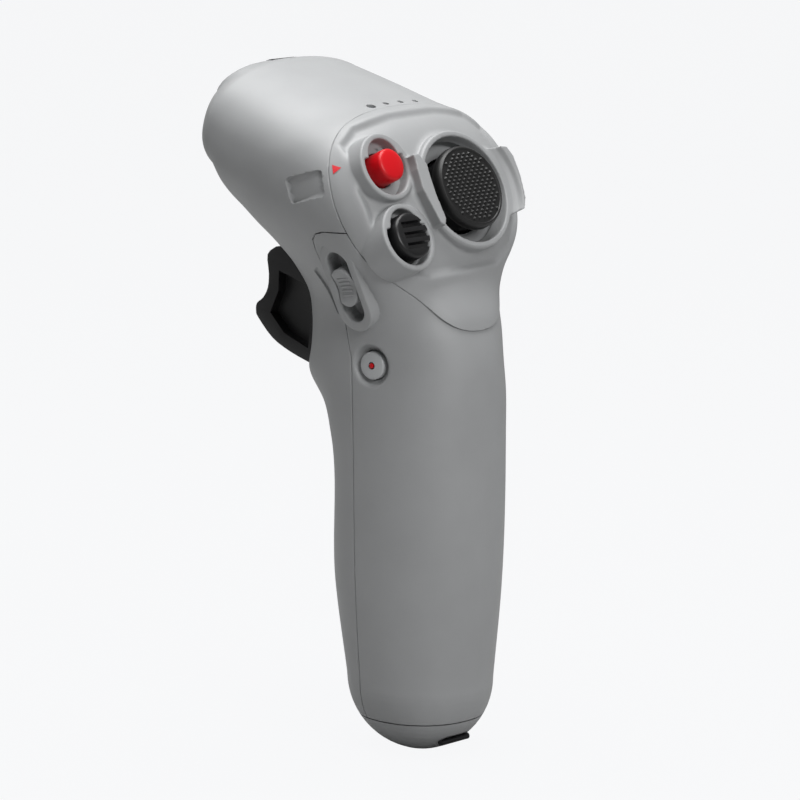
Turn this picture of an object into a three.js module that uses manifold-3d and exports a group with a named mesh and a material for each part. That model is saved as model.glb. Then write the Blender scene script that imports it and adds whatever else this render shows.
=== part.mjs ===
// A one-hand motion controller for a drone: a pistol grip with a trigger, a thumb stick,
// two face buttons, a tilt slider and a record button.
// Millimetres. +Z is up, +Y points where the nose points, +X is the user's right.
import * as THREE from 'three';
import { mergeVertices } from 'three/addons/utils/BufferGeometryUtils.js';
import Module from 'manifold-3d';

const wasm = await Module();
wasm.setup();

// ---- driving dimensions ----
const NECK_HEIGHT = 100;      // ground to the thinnest place under the head
const GRIP_HALF = 19;         // half width of the grip
const HEAD_HALF = 31.2;       // half width of the head
const NOSE_REACH = 49.8;      // nose tip, forward of the grip's axis
const WALL = 2;               // wall of every shell
const FIT = 0.3;              // gap between pieces that touch
const PART_Y = 4;             // parting plane of the grip's two shells
const CAP_HEIGHT = 8;         // height of the bottom cap
const FACE_TILT = THREE.MathUtils.degToRad(25);
const SKIN_SIDES = 22;        // facets round the skin
const SKIN_STEPS = 20;        // facets along it
const CAP_STEPS = 5;          // facets over each end

// Where the sections of the body skin stand: the rear point, the front point [y, z],
// the half width, where between the two the section is widest, and how square it is
// behind and in front of that place.
const N = NECK_HEIGHT;
const STATIONS = [
  { back: [-18.0, 17], front: [16.8, 18], half: GRIP_HALF - 2.1, widest: 0.5, square: [2.2, 2.2] },
  { back: [-20.4, 40], front: [20.4, 40], half: GRIP_HALF - 0.7, widest: 0.5, square: [2.2, 2.2] },
  { back: [-21.4, N - 22], front: [21.6, N - 24], half: GRIP_HALF, widest: 0.5, square: [2.2, 2.2] },
  { back: [-21.6, N - 12], front: [24.5, N - 16.5], half: GRIP_HALF + 0.1, widest: 0.5, square: [2.2, 2.1] },
  { back: [-21.2, N - 4], front: [30.2, N - 9.6], half: GRIP_HALF + 0.2, widest: 0.5, square: [2.2, 2.0] },
  { back: [-19.8, N + 3], front: [29.5, N - 3.5], half: GRIP_HALF + 0.5, widest: 0.45, square: [2.2, 2.0] },
  { back: [-17.6, N + 9.5], front: [30.0, N + 3], half: GRIP_HALF + 0.9, widest: 0.37, square: [2.2, 1.9] },
  { back: [-15.9, N + 16], front: [32.0, N + 9], half: HEAD_HALF - 8.9, widest: 0.28, square: [2.2, 1.7] },
  { back: [-15.2, N + 24], front: [36.0, N + 14.5], half: HEAD_HALF - 4.4, widest: 0.25, square: [2.5, 1.6] },
  { back: [-12.0, N + 34], front: [40.0, N + 19.5], half: HEAD_HALF - 1, widest: 0.25, square: [2.8, 1.7] },
  { back: [-7.0, N + 45], front: [43.0, N + 23.5], half: HEAD_HALF, widest: 0.32, square: [2.9, 1.9] },
  { back: [0.5, N + 53.4], front: [45.2, N + 27], half: HEAD_HALF - 0.6, widest: 0.4, square: [2.5, 2.1] },
  { back: [10.0, N + 56.3], front: [46.3, N + 30], half: HEAD_HALF - 1, widest: 0.45, square: [2.4, 2.3] },
  { back: [24.0, N + 60.3], front: [46.5, N + 32.5], half: HEAD_HALF - 1.6, widest: 0.48, square: [2.4, 2.4] },
  { back: [37.0, N + 63.8], front: [46.2, N + 35], half: HEAD_HALF - 2.7, widest: 0.5, square: [2.4, 2.4] },
];
const BOTTOM_TIP = [-0.8, -0.7];
const NOSE_TIP = [NOSE_REACH, N + 53];
const BOTTOM_TAPER = 1;
const NOSE_TAPER = 0.6;
// The seam of the face plate, seen from the side, from the grip's rear up to the head's top.
const SEAM = [[-32, N - 10], [-24, N], [-17.8, N + 6], [-9.6, N + 17], [-2.9, N + 30], [5.2, N + 53],
  [9, N + 65]];
// The front edge of the back cover: up the grip, then slanting forward beside the slider.
const COVER_EDGE = [[PART_Y, -10], [PART_Y, N - 3], [7.6, N + 11], [8.9, N + 18], [8.9, N + 24.5],
  [6.6, N + 27.2], [-60, N + 30.5]];

// ---- face controls, in the face frame: x, up along the face, height above the frame ----
const FACE_ORIGIN = [0, 4.5, N + 53.2];
const COLLAR_RADIUS = 8.35;
const WELL_RADIUS = 6.8;
const FLOOR = 1.4;            // thickness of every well's floor
const LOCK = { x: -18.6, u: -13.6, top: 5.8, button: 4, floor: 3 };
const MODE = { x: -18.6, u: -31, top: 5.4, button: 5.6, floor: 2.2 };
const STICK = { x: 4.3, u: -21.9, rim: 13.4, top: 7.4, floor: 2, pivot: -0.5, capTop: 9.5, cap: 10.3 };
const DOME_RADIUS = 9.3;
const FLANGE = 1;             // thickness of a button's retaining flange
const FLANGE_RIM = 0.7;       // how far the flange stands out round the button
const BUTTON_TRAVEL = 0.6;
const BOARD = 1.2;            // thickness of every circuit board
const CONTROL_BOARD_TOP = STICK.pivot - 7.3;
const FACE_POSTS = [[-8.6, -5.5], [18, -6.5], [-6, -38.5], [13, -38.5]];
const POST_RADIUS = 2.3;
const SCREW_RADIUS = 0.9;
const SCREW_HOLE = SCREW_RADIUS + FIT;
const SCREW_HEAD = { radius: 2, height: 1.4 };

// ---- grip contents ----
const BATTERY = { radius: 9, length: 60, y: -6, bottom: 19 };
const PLATE = 2;              // thickness of the chassis plate
const CHASSIS_Y = BATTERY.y + BATTERY.radius + FIT + PLATE / 2;
const CHASSIS_HALF = GRIP_HALF - WALL - 3.6;
const CHASSIS_TOP = N - 13;
const STANDOFF = 1.5;
const MAIN_BOARD_Y = CHASSIS_Y + PLATE / 2 + STANDOFF + FIT + BOARD / 2;
const BOSS_X = CHASSIS_HALF - 2.7;
const BOSS_HEIGHTS = [26, N - 19];
const MAIN_BOARD_HALF = BOSS_X - 3.2;

// ---- trigger ----
const TRIGGER_HALF = 6.8;
const TRIGGER_PIVOT = [31, N + 17];
const TRIGGER_FACE = [[40.5, 18.8], [43.4, 16.6], [43.0, 12], [43.4, 8.4], [45.0, 5.8], [47.1, 4.2],
  [47.4, 2.2], [46.6, 0.6], [41.8, -3.9], [35.8, -6.7], [29, -8.8]];
const KNUCKLE = 4.2;           // radius of the trigger round its pin
const WEB_HALF = 4;            // half thickness of the trigger's web between its side pockets
const PIN_RADIUS = 1.2;
const TRIGGER_BASE = N - 9.8;
const SPRING_SLOT = 2.6;      // half width of the gap in the knuckle that holds the spring

// ---- side controls ----
const SLIDER = { at: [-23.6, 1.2, N + 15], along: [-0.3, 0.17, 0.94], length: 18, width: 6.4, travel: 3 };
const RECORD = { at: [-19.3, -1.6, N - 4.5], turn: 7, recess: 5.2, button: 3.4 };
const POWER = { at: [19.3, -1.6, N - 4.5], turn: 7, recess: 5.2, button: 3.4 };
const SIDE_TRAVEL = 0.5;
const DIAL = { radius: 6.5, half: 4.5, proud: 1.6, pad: 0.8, angle: 74, padLength: 42, padWidth: 11 };

const material = (color, roughness, metalness = 0) =>
  new THREE.MeshStandardMaterial({ color, roughness, metalness });
const greyPlastic = () => material(0x9a9c9e, 0.55);
const blackPlastic = () => material(0x161616, 0.45);
const redPlastic = () => material(0xdb3039, 0.35);
const rubber = () => material(0x1b1b1b, 0.8);
const steel = () => material(0xb8babd, 0.3, 1);
const board = () => material(0x1f5a3a, 0.6);

// ---- solids ----
function toSolid(geometry, matrix) {
  const g = geometry.clone();
  g.deleteAttribute('normal');
  g.deleteAttribute('uv');
  if (matrix) g.applyMatrix4(matrix);
  const merged = mergeVertices(g, 1e-4);
  return new wasm.Manifold(new wasm.Mesh({
    numProp: 3,
    vertProperties: Float32Array.from(merged.attributes.position.array),
    triVerts: Uint32Array.from(merged.index.array),
  }));
}

function toGeometry(solid) {
  const mesh = solid.simplify(0.01).getMesh();
  const g = new THREE.BufferGeometry();
  g.setAttribute('position', new THREE.BufferAttribute(new Float32Array(mesh.vertProperties), 3));
  g.setIndex(new THREE.BufferAttribute(new Uint32Array(mesh.triVerts), 1));
  const flat = g.toNonIndexed();
  flat.computeVertexNormals();
  return flat;
}

const join = (first, ...rest) => rest.reduce((sum, s) => sum.add(s), first);
const cut = (first, ...rest) => rest.reduce((left, s) => left.subtract(s), first);
const shared = (first, ...rest) => rest.reduce((both, s) => both.intersect(s), first);

const root = new THREE.Group();
function piece(name, shape, look, parent = root) {
  const geometry = shape.isBufferGeometry ? shape : toGeometry(shape);
  const mesh = new THREE.Mesh(geometry, look);
  mesh.name = name;
  parent.add(mesh);
  return mesh;
}

const at = (x, y, z) => new THREE.Matrix4().makeTranslation(x, y, z);
const turned = (x, y, z) => new THREE.Matrix4().makeRotationFromEuler(new THREE.Euler(x, y, z));

// A box from its two corners.
function block(x0, x1, y0, y1, z0, z1) {
  const g = new THREE.BoxGeometry(x1 - x0, y1 - y0, z1 - z0);
  return toSolid(g, at((x0 + x1) / 2, (y0 + y1) / 2, (z0 + z1) / 2));
}

// A round bar or cone between two heights on a vertical axis.
function post(x, y, z0, z1, r0, r1 = r0, sides = 20) {
  const g = new THREE.CylinderGeometry(r1, r0, z1 - z0, sides);
  return toSolid(g, at(x, y, (z0 + z1) / 2).multiply(turned(Math.PI / 2, 0, 0)));
}

// A round bar along X.
function barX(x0, x1, y, z, r, sides = 20) {
  const g = new THREE.CylinderGeometry(r, r, x1 - x0, sides);
  return toSolid(g, at((x0 + x1) / 2, y, z).multiply(turned(0, 0, Math.PI / 2)));
}

// A round bar along Y.
function barY(x, y0, y1, z, r, sides = 14) {
  return toSolid(new THREE.CylinderGeometry(r, r, y1 - y0, sides), at(x, (y0 + y1) / 2, z));
}

// A side view, as [y, z] points, extruded along X between two places.
function sideSlab(points, x0, x1) {
  const shape = new THREE.Shape(points.map(([y, z]) => new THREE.Vector2(y, z)));
  const g = new THREE.ExtrudeGeometry(shape, { depth: x1 - x0, bevelEnabled: false });
  const axes = new THREE.Matrix4().makeBasis(
    new THREE.Vector3(0, 1, 0), new THREE.Vector3(0, 0, 1), new THREE.Vector3(1, 0, 0));
  return toSolid(g, at(x0, 0, 0).multiply(axes));
}

// An outline in the face's plane, as [x, u] points, between two heights.
function faceSlab(points, n0, n1) {
  const shape = new THREE.Shape(points.map(([x, u]) => new THREE.Vector2(x, u)));
  return toSolid(new THREE.ExtrudeGeometry(shape, { depth: n1 - n0, bevelEnabled: false }), at(0, 0, n0));
}

// A slot shape with round ends, centred, lying along Y and rising along Z.
function racetrack(length, width, z0, z1, sides = 8) {
  const r = width / 2;
  const shape = new THREE.Shape();
  shape.absarc(0, length / 2 - r, r, 0, Math.PI);
  shape.absarc(0, r - length / 2, r, Math.PI, 2 * Math.PI);
  const g = new THREE.ExtrudeGeometry(shape, { depth: z1 - z0, bevelEnabled: false, curveSegments: sides });
  return toSolid(g, at(0, 0, z0));
}

function smooth(points, steps) {
  const curve = new THREE.SplineCurve(points.map(([a, b]) => new THREE.Vector2(a, b)));
  return curve.getPoints(steps).map((p) => [p.x, p.y]);
}

// ---- the body skin ----
const lerp = THREE.MathUtils.lerp;
const middle = (s) => s.back.map((v, i) => lerp(v, s.front[i], s.widest));
const flatten = (s) => [...s.back, ...s.front, s.half, s.widest, ...s.square];

function stationPlaces() {
  const places = [0];
  for (let i = 1; i < STATIONS.length; i += 1) {
    const [a, b] = [middle(STATIONS[i - 1]), middle(STATIONS[i])];
    places.push(places[i - 1] + Math.hypot(a[0] - b[0], a[1] - b[1]));
  }
  return places;
}

// One section's eight numbers at a place along the body, on a smooth curve through the stations.
function sectionAt(place) {
  const s = stationPlaces();
  const rows = STATIONS.map(flatten);
  const last = s.length - 1;
  let i = 0;
  while (i < last - 1 && place > s[i + 1]) i += 1;
  const h = s[i + 1] - s[i];
  const t = (place - s[i]) / h;
  const slope = (k, j) => {
    if (k === 0) return (rows[1][j] - rows[0][j]) / (s[1] - s[0]);
    if (k === last) return (rows[k][j] - rows[k - 1][j]) / (s[k] - s[k - 1]);
    const before = s[k] - s[k - 1];
    const after = s[k + 1] - s[k];
    const rise = (rows[k + 1][j] - rows[k][j]) / after;
    const fall = (rows[k][j] - rows[k - 1][j]) / before;
    return (rise * before + fall * after) / (before + after);
  };
  return rows[0].map((_, j) => {
    const [p, q] = [rows[i][j], rows[i + 1][j]];
    return p * (2 * t ** 3 - 3 * t ** 2 + 1) + slope(i, j) * h * (t ** 3 - 2 * t ** 2 + t)
      + q * (3 * t ** 2 - 2 * t ** 3) + slope(i + 1, j) * h * (t ** 3 - t ** 2);
  });
}

// The points of one section, moved inwards by inset.
function ringAt(section, inset, sides) {
  const [by, bz, fy, fz, half, widest, rearPower, frontPower] = section;
  const length = Math.hypot(by - fy, bz - fz);
  const share = inset / length;
  const back = [lerp(by, fy, share), lerp(bz, fz, share)];
  const front = [lerp(fy, by, share), lerp(fz, bz, share)];
  const mid = [lerp(by, fy, widest), lerp(bz, fz, widest)];
  const ring = [];
  for (let k = 0; k < sides; k += 1) {
    const angle = (2 * Math.PI * k) / sides;
    const [c, s] = [Math.cos(angle), Math.sin(angle)];
    const power = 2 / (c > 0 ? rearPower : frontPower);
    const reach = Math.abs(c) ** power;
    const end = c > 0 ? back : front;
    const x = (half - inset) * Math.sign(s) * Math.abs(s) ** power;
    ring.push([x, lerp(mid[0], end[0], reach), lerp(mid[1], end[1], reach)]);
  }
  return ring;
}

function ringCentre(ring) {
  const mean = (axis) => ring.reduce((sum, p) => sum + p[axis], 0) / ring.length;
  return [mean(1), mean(2)];
}

// The rings that close one end, from the last full section to its tip.
function endRings(ring, tip, taper) {
  const centre = ringCentre(ring);
  const rings = [];
  for (let k = 1; k < CAP_STEPS; k += 1) {
    const angle = (Math.PI / 2) * (k / CAP_STEPS);
    const size = Math.cos(angle) ** taper;
    const shift = Math.sin(angle);
    rings.push(ring.map((p) => [
      p[0] * size,
      lerp(centre[0], tip[0], shift) + (p[1] - centre[0]) * size,
      lerp(centre[1], tip[1], shift) + (p[2] - centre[1]) * size,
    ]));
  }
  return rings;
}

function skin(inset) {
  const total = stationPlaces().at(-1);
  const body = [];
  for (let k = 0; k <= SKIN_STEPS; k += 1) {
    body.push(ringAt(sectionAt((total * k) / SKIN_STEPS), inset, SKIN_SIDES));
  }
  const low = [BOTTOM_TIP[0], BOTTOM_TIP[1] + inset];
  const nose = [NOSE_TIP[0] - inset, NOSE_TIP[1]];
  const rings = [
    ...endRings(body[0], low, BOTTOM_TAPER).reverse(),
    ...body,
    ...endRings(body.at(-1), nose, NOSE_TAPER),
  ];
  const points = [[0, ...low], ...rings.flat(), [0, ...nose]];
  const tip = points.length - 1;
  const faces = [];
  const id = (r, k) => 1 + r * SKIN_SIDES + (k % SKIN_SIDES);
  for (let k = 0; k < SKIN_SIDES; k += 1) {
    faces.push(0, id(0, k + 1), id(0, k));
    faces.push(tip, id(rings.length - 1, k), id(rings.length - 1, k + 1));
    for (let r = 0; r < rings.length - 1; r += 1) {
      faces.push(id(r, k), id(r, k + 1), id(r + 1, k + 1));
      faces.push(id(r, k), id(r + 1, k + 1), id(r + 1, k));
    }
  }
  const g = new THREE.BufferGeometry();
  g.setAttribute('position', new THREE.BufferAttribute(new Float32Array(points.flat()), 3));
  g.setIndex(faces);
  return toSolid(g);
}

// ---- the regions that split the skin into shells ----
const WIDE = 60;
function faceRegion(grow) {
  const seam = smooth(SEAM, 24).map(([y, z]) => [y + grow, z]);
  return sideSlab([[-90, seam[0][1]], ...seam, [-90, seam.at(-1)[1]]], -WIDE, WIDE);
}

function coverRegion(grow) {
  const edge = COVER_EDGE.map(([y, z]) => [y + grow, z + grow]);
  return sideSlab([[-90, edge[0][1]], ...edge, [-90, edge.at(-1)[1]]], -WIDE, WIDE);
}

const capRegion = (grow) => block(-WIDE, WIDE, -WIDE, WIDE, -10, CAP_HEIGHT + grow);
const ground = block(-WIDE, WIDE, -WIDE, WIDE, -10, 0);

const outerSkin = cut(skin(0), ground);
const innerSkin = skin(WALL);
const wall = cut(outerSkin, innerSkin);

// ---- frames ----
const face = new THREE.Group();
face.position.set(...FACE_ORIGIN);
face.rotation.x = Math.PI / 2 - FACE_TILT;
face.updateMatrixWorld();
root.add(face);
const toFace = face.matrixWorld.clone().invert();

// A frame on the body's side: Y runs along a direction, Z points out of the side.
function sideFrame(place, along, outward) {
  const y = new THREE.Vector3(...along).normalize();
  const z = new THREE.Vector3(...outward);
  z.addScaledVector(y, -z.dot(y)).normalize();
  const x = new THREE.Vector3().crossVectors(y, z);
  const frame = new THREE.Group();
  frame.applyMatrix4(at(...place).multiply(new THREE.Matrix4().makeBasis(x, y, z)));
  frame.updateMatrixWorld();
  root.add(frame);
  return frame;
}

const sliderFrame = sideFrame(SLIDER.at, SLIDER.along, [-1, 0.05, 0]);
const roundFrame = (b) => {
  const a = THREE.MathUtils.degToRad(b.turn);
  return sideFrame(b.at, [0, 0, 1], [Math.sign(b.at[0]) * Math.cos(a), -Math.sin(a), 0]);
};
const recordFrame = roundFrame(RECORD);
const powerFrame = roundFrame(POWER);
const moved = (solid, frame) => solid.transform(frame.matrixWorld.elements);

// Where the dial sits on the nose, and the way it faces.
function noseSeat() {
  const ring = ringAt(sectionAt(stationPlaces().at(-1)), 0, SKIN_SIDES);
  const centre = ringCentre(ring);
  const place = (degrees) => {
    const a = THREE.MathUtils.degToRad(degrees);
    const size = Math.cos(a) ** NOSE_TAPER;
    const along = (i) => lerp(centre[i], NOSE_TIP[i], Math.sin(a));
    return [0, 1].map((i) => along(i) + (ring[0][i + 1] - centre[i]) * size);
  };
  const [before, here, after] = [place(DIAL.angle - 3), place(DIAL.angle), place(DIAL.angle + 3)];
  const run = [after[0] - before[0], after[1] - before[1]];
  const length = Math.hypot(...run);
  return { at: here, out: [-run[1] / length, run[0] / length] };
}

const seat = noseSeat();
const dialDepth = DIAL.radius - DIAL.proud - DIAL.pad;
const DIAL_CENTRE = [seat.at[0] - seat.out[0] * dialDepth, seat.at[1] - seat.out[1] * dialDepth];

// A long pad round the dial, raised from the nose.
function dialPad() {
  const frame = sideFrame([0, ...seat.at], [1, 0, 0], [0, ...seat.out]);
  const outline = racetrack(DIAL.padLength, DIAL.padWidth, -3, 6);
  return shared(cut(skin(-DIAL.pad), innerSkin), moved(outline, frame));
}

const dialRoom = (grow) =>
  barX(-DIAL.half - grow, DIAL.half + grow, ...DIAL_CENTRE, DIAL.radius + grow, 28);

// ---- shells ----
const MOUTH_HALF = TRIGGER_HALF + 0.4;
function triggerMouth() {
  const [py, pz] = TRIGGER_PIVOT;
  const top = pz + KNUCKLE + 1.2;
  const outline = [[18, TRIGGER_BASE], [60, TRIGGER_BASE], [60, pz], [41.8, pz + 3.9],
    [py + 3, top], [py - 6, top], [18, pz - 1]];
  return sideSlab(outline, -MOUTH_HALF, MOUTH_HALF);
}

// Two bosses in the side walls carry the trigger's pin.
function pinBosses() {
  const [y, z] = TRIGGER_PIVOT;
  const bar = barX(-14, 14, y, z, 3.4);
  const gap = block(-MOUTH_HALF, MOUTH_HALF, y - 9, y + 9, z - 9, z + 9);
  return shared(cut(bar, gap), outerSkin);
}

const pinHole = () => barX(-TRIGGER_HALF - 2.6, TRIGGER_HALF + 2.6, ...TRIGGER_PIVOT, PIN_RADIUS + FIT, 16);

// Bosses on the front wall that the chassis is screwed to.
function chassisBosses() {
  const front = CHASSIS_Y + PLATE / 2 + FIT;
  const bosses = [];
  for (const z of BOSS_HEIGHTS) {
    for (const side of [-1, 1]) bosses.push(barY(side * BOSS_X, front, 30, z, 2.7));
  }
  return bosses.map((b) => shared(b, outerSkin));
}

function chassisScrewHoles(y0, y1, radius) {
  const holes = [];
  for (const z of BOSS_HEIGHTS) {
    for (const side of [-1, 1]) holes.push(barY(side * BOSS_X, y0, y1, z, radius, 12));
  }
  return holes;
}

// A shelf across the grip's front wall that the trigger's sensor board stands on.
const SENSOR = { y: 15, half: 5.5, bottom: N - 8, top: N + 5 };
function sensorShelf() {
  const shelf = block(-GRIP_HALF, GRIP_HALF, SENSOR.y - 3, SENSOR.y + 3, SENSOR.bottom - 2, SENSOR.bottom);
  const slot = block(-SENSOR.half - FIT, SENSOR.half + FIT, SENSOR.y - FIT, SENSOR.y + BOARD + FIT,
    SENSOR.bottom - 1, SENSOR.top);
  return cut(shared(shelf, outerSkin), slot);
}

function dialBracket() {
  const [y, z] = DIAL_CENTRE;
  const arm = (side) => {
    const x0 = side * (DIAL.half + FIT + 0.5);
    const x1 = side * (DIAL.half + FIT + 2.2);
    return sideSlab([[y - 3, z - 3], [y + 3, z - 3], [y + 3, z + 12], [y - 3, z + 12]],
      Math.min(x0, x1), Math.max(x0, x1));
  };
  return [arm(-1), arm(1)].map((a) => shared(a, outerSkin));
}

const AXLE_RADIUS = 1;
const AXLE_HALF = DIAL.half + FIT + 2;

function frontShell() {
  let body = cut(wall, faceRegion(FIT), coverRegion(FIT), capRegion(FIT));
  const axleBore = barX(-AXLE_HALF - FIT, AXLE_HALF + FIT, ...DIAL_CENTRE, AXLE_RADIUS + FIT, 16);
  body = cut(join(body, dialPad(), ...dialBracket()), dialRoom(0.5), axleBore);
  body = join(cut(body, triggerMouth()), pinBosses(), ...chassisBosses(), sensorShelf(), ...antennaRibs());
  body = cut(body, pinHole(), ...chassisScrewHoles(0, CHASSIS_Y + 8, SCREW_HOLE), ...lightHoles());
  return body;
}

// ---- side wells ----
const WELL = { dish: -2.4, floor: -3.8, end: -7.1 };
// A dished well with a floor that has a hole for its button.
function roundWell(b) {
  const outer = post(0, 0, WELL.end, -0.6, b.recess + 1.6);
  const bore = join(post(0, 0, WELL.dish, 0, b.recess - 1, b.recess), post(0, 0, -0.01, 4, b.recess));
  const hole = post(0, 0, -9, 4, b.button + FIT);
  const under = post(0, 0, -12, WELL.floor, b.button + 1.6);
  return { outer, cuts: [bore, hole, under] };
}

// The slider's slot with its raised rim.
function sliderWell() {
  const rim = racetrack(SLIDER.length + 5, SLIDER.width + 4.4, -4, 0.9);
  const slot = racetrack(SLIDER.length, SLIDER.width, -3, 6);
  const slit = racetrack(SLIDER.length - 4, 2.4, -8, 0);
  return { outer: rim, cuts: [slot, slit] };
}

function backCover() {
  const slider = sliderWell();
  const record = roundWell(RECORD);
  const power = roundWell(POWER);
  const split = (solid) => cut(shared(solid, coverRegion(0)), faceRegion(FIT), capRegion(FIT));
  const sides = [[slider, sliderFrame], [record, recordFrame], [power, powerFrame]];
  let body = split(join(wall, ...sides.slice(1).map(([w, f]) => shared(moved(w.outer, f), outerSkin))));
  body = join(body, split(moved(slider.outer, sliderFrame)));
  for (const [well, frame] of sides) body = cut(body, ...well.cuts.map((c) => moved(c, frame)));
  return body;
}

// ---- bottom cap, with the charging port and a bar for a wrist cord ----
const PORT = { y: 7, half: 4.5, depth: 1.6 };
const CORD = { y: -13, half: 4, bar: 1.1 };

function roundedSlot(halfX, halfY, y, z0, z1) {
  const r = halfY;
  const shape = new THREE.Shape();
  shape.absarc(halfX - r, 0, r, -Math.PI / 2, Math.PI / 2);
  shape.absarc(r - halfX, 0, r, Math.PI / 2, (3 * Math.PI) / 2);
  const g = new THREE.ExtrudeGeometry(shape, { depth: z1 - z0, bevelEnabled: false, curveSegments: 6 });
  return toSolid(g, at(0, y, z0));
}

function bottomCap() {
  const body = shared(wall, capRegion(0));
  const portBlock = roundedSlot(PORT.half + 1.6, PORT.depth + 1.6, PORT.y, 0.5, CAP_HEIGHT - 1);
  const cordSlot = block(-CORD.half, CORD.half, CORD.y - 9, CORD.y + 4.5, -1, 4.4);
  const cordPocket = block(-CORD.half - 1.5, CORD.half + 1.5, CORD.y - 9, CORD.y + 6, -1, 6);
  const solid = join(body, shared(portBlock, outerSkin), shared(cordPocket, outerSkin));
  const barHole = barX(-CORD.half - 1.2, CORD.half + 1.2, CORD.y + 1.5, 2.9, CORD.bar + 0.02, 12);
  const portHole = roundedSlot(PORT.half + FIT, PORT.depth + FIT, PORT.y, -1, CAP_HEIGHT);
  return cut(solid, portHole, cordSlot, barHole);
}

function usbPort() {
  const shell = roundedSlot(PORT.half, PORT.depth, PORT.y, 1.2, CAP_HEIGHT + 0.4);
  const mouth = roundedSlot(PORT.half - 0.4, PORT.depth - 0.4, PORT.y, 0, CAP_HEIGHT - 1.4);
  const tongue = block(-3.3, 3.3, PORT.y - 0.35, PORT.y + 0.35, 2, CAP_HEIGHT);
  return join(cut(shell, mouth), tongue);
}

const cordBar = () => barX(-CORD.half - 0.9, CORD.half + 0.9, CORD.y + 1.5, 2.9, CORD.bar - FIT, 12);

// ---- face plate, in the face frame ----
// A ring round a face button, tapering slightly towards its top.
function collar(b) {
  return post(b.x, b.u, b.floor - FLOOR, b.top, COLLAR_RADIUS - 0.3, COLLAR_RADIUS, 28);
}

function buttonWell(b) {
  return [
    post(b.x, b.u, b.floor, 20, WELL_RADIUS, WELL_RADIUS, 28),
    post(b.x, b.u, -5, 20, b.button + FIT),
    post(b.x, b.u, -6, b.floor - FLOOR, b.button + FLANGE_RIM + FIT),
  ];
}

function facePlate() {
  const { x, u, rim, top, floor } = STICK;
  const zone = faceRegion(0).transform(toFace.elements);
  const limit = outerSkin.transform(toFace.elements);
  const crater = post(x, u, floor - FLOOR, top, rim + 1.6, rim + 1.2, 36);
  const raised = [collar(LOCK), collar(MODE), crater, ...stickGuards()].map((r) => shared(r, zone));
  const posts = FACE_POSTS.map(([a, b]) =>
    shared(post(a, b, CONTROL_BOARD_TOP + FIT, 9, POST_RADIUS), limit));
  const screwHoles = FACE_POSTS.map(([a, b]) =>
    post(a, b, CONTROL_BOARD_TOP, CONTROL_BOARD_TOP + 6, SCREW_HOLE, SCREW_HOLE, 12));
  const bowl = post(x, u, floor, 14, rim - 0.4, rim + 0.5, 36);
  const stickHole = post(x, u, -5, 5, DOME_RADIUS + FIT, DOME_RADIUS + FIT, 32);
  const body = join(shared(wall.transform(toFace.elements), zone), ...raised, ...posts);
  return cut(body, ...buttonWell(LOCK), ...buttonWell(MODE), bowl, stickHole, ...screwHoles);
}

// Two walls that shelter the stick: a low fin on its left, a wide plate on its right.
function stickGuards() {
  const around = (points) => points.map(([x, u]) => [STICK.x + x, STICK.u + u]);
  const fin = around([[-14.9, 9], [-12.6, 9.5], [-11.4, 5], [-13.6, 0], [-12.2, -5], [-13.2, -7.5],
    [-15.2, -6], [-16, 1]]);
  const plate = around([[12.4, 8.8], [17.4, 7.8], [18.3, 0], [16.9, -6.8], [12.2, -7.6], [14, 0]]);
  return [faceSlab(fin, STICK.floor, STICK.top + 1.4), faceSlab(plate, STICK.floor + 0.6, STICK.top + 1.6)];
}

// ---- face buttons ----
const LOCK_TOP = 8.2;          // heights of the buttons' tops
const MODE_TOP = 7.4;
const SWITCH_HALF = 1.5;
const STEM_BOTTOM = -2.9;
function faceButton(b, height, ribs) {
  const flangeTop = b.floor - FLOOR - FIT;
  const cap = post(b.x, b.u, flangeTop - 0.01, height, b.button, b.button - 0.3);
  const flange = post(b.x, b.u, flangeTop - FLANGE, flangeTop, b.button + FLANGE_RIM);
  const stem = post(b.x, b.u, STEM_BOTTOM, flangeTop - FLANGE + 0.01, 1.4, 1.4, 12);
  return cut(join(cap, flange, stem), ...ribs);
}

function modeGrooves() {
  const grooves = [];
  for (let k = 0; k < 3; k += 1) {
    const u = MODE.u + (k - 1) * 2.6;
    grooves.push(block(MODE.x - 4.6, MODE.x + 7, u - 0.7, u + 0.7, 5.6, 9));
  }
  return grooves;
}

function faceSwitch(b) {
  const top = STEM_BOTTOM - BUTTON_TRAVEL - FIT;
  const h = CONTROL_BOARD_TOP + FIT;
  const box = block(-SWITCH_HALF, SWITCH_HALF, -SWITCH_HALF, SWITCH_HALF, h, top - 0.8);
  return join(box, post(0, 0, top - 0.81, top, 1.1, 1.1, 12)).translate([b.x, b.u, 0]);
}

// ---- thumb stick ----
const SUPPORT = { inner: 5.3, outer: 6.6, half: 2.2, height: 1.6 };
const TRUNNION = 0.9;
function stickHousing() {
  const p = STICK.pivot;
  const base = block(-8, 8, -8, 8, CONTROL_BOARD_TOP + FIT, p - 3);
  const { inner, outer, half, height } = SUPPORT;
  const bar = block(-outer, outer, -half, half, p - 3.01, p + height);
  const supports = cut(bar, block(-inner, inner, -half - 1, half + 1, p - 3, p + height + 1));
  const bore = barX(-outer - 1, outer + 1, 0, p, TRUNNION + FIT, 16);
  return cut(join(base, supports), bore).translate([STICK.x, STICK.u, 0]);
}

const YOKE = { outer: 4.8, inner: 3.1, half: 1.3, pinReach: 6.4 };
function stickYoke() {
  const p = STICK.pivot;
  const { outer, inner, half, pinReach } = YOKE;
  const pins = barX(-pinReach, pinReach, 0, p, TRUNNION, 16);
  const frame = join(block(-outer, outer, -outer, outer, p - half, p + half), pins);
  const window = block(-inner, inner, -inner, inner, p - 2, p + 2);
  return cut(frame, window, barY(0, -5, 5, p, TRUNNION + FIT, 16)).translate([STICK.x, STICK.u, 0]);
}

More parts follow.
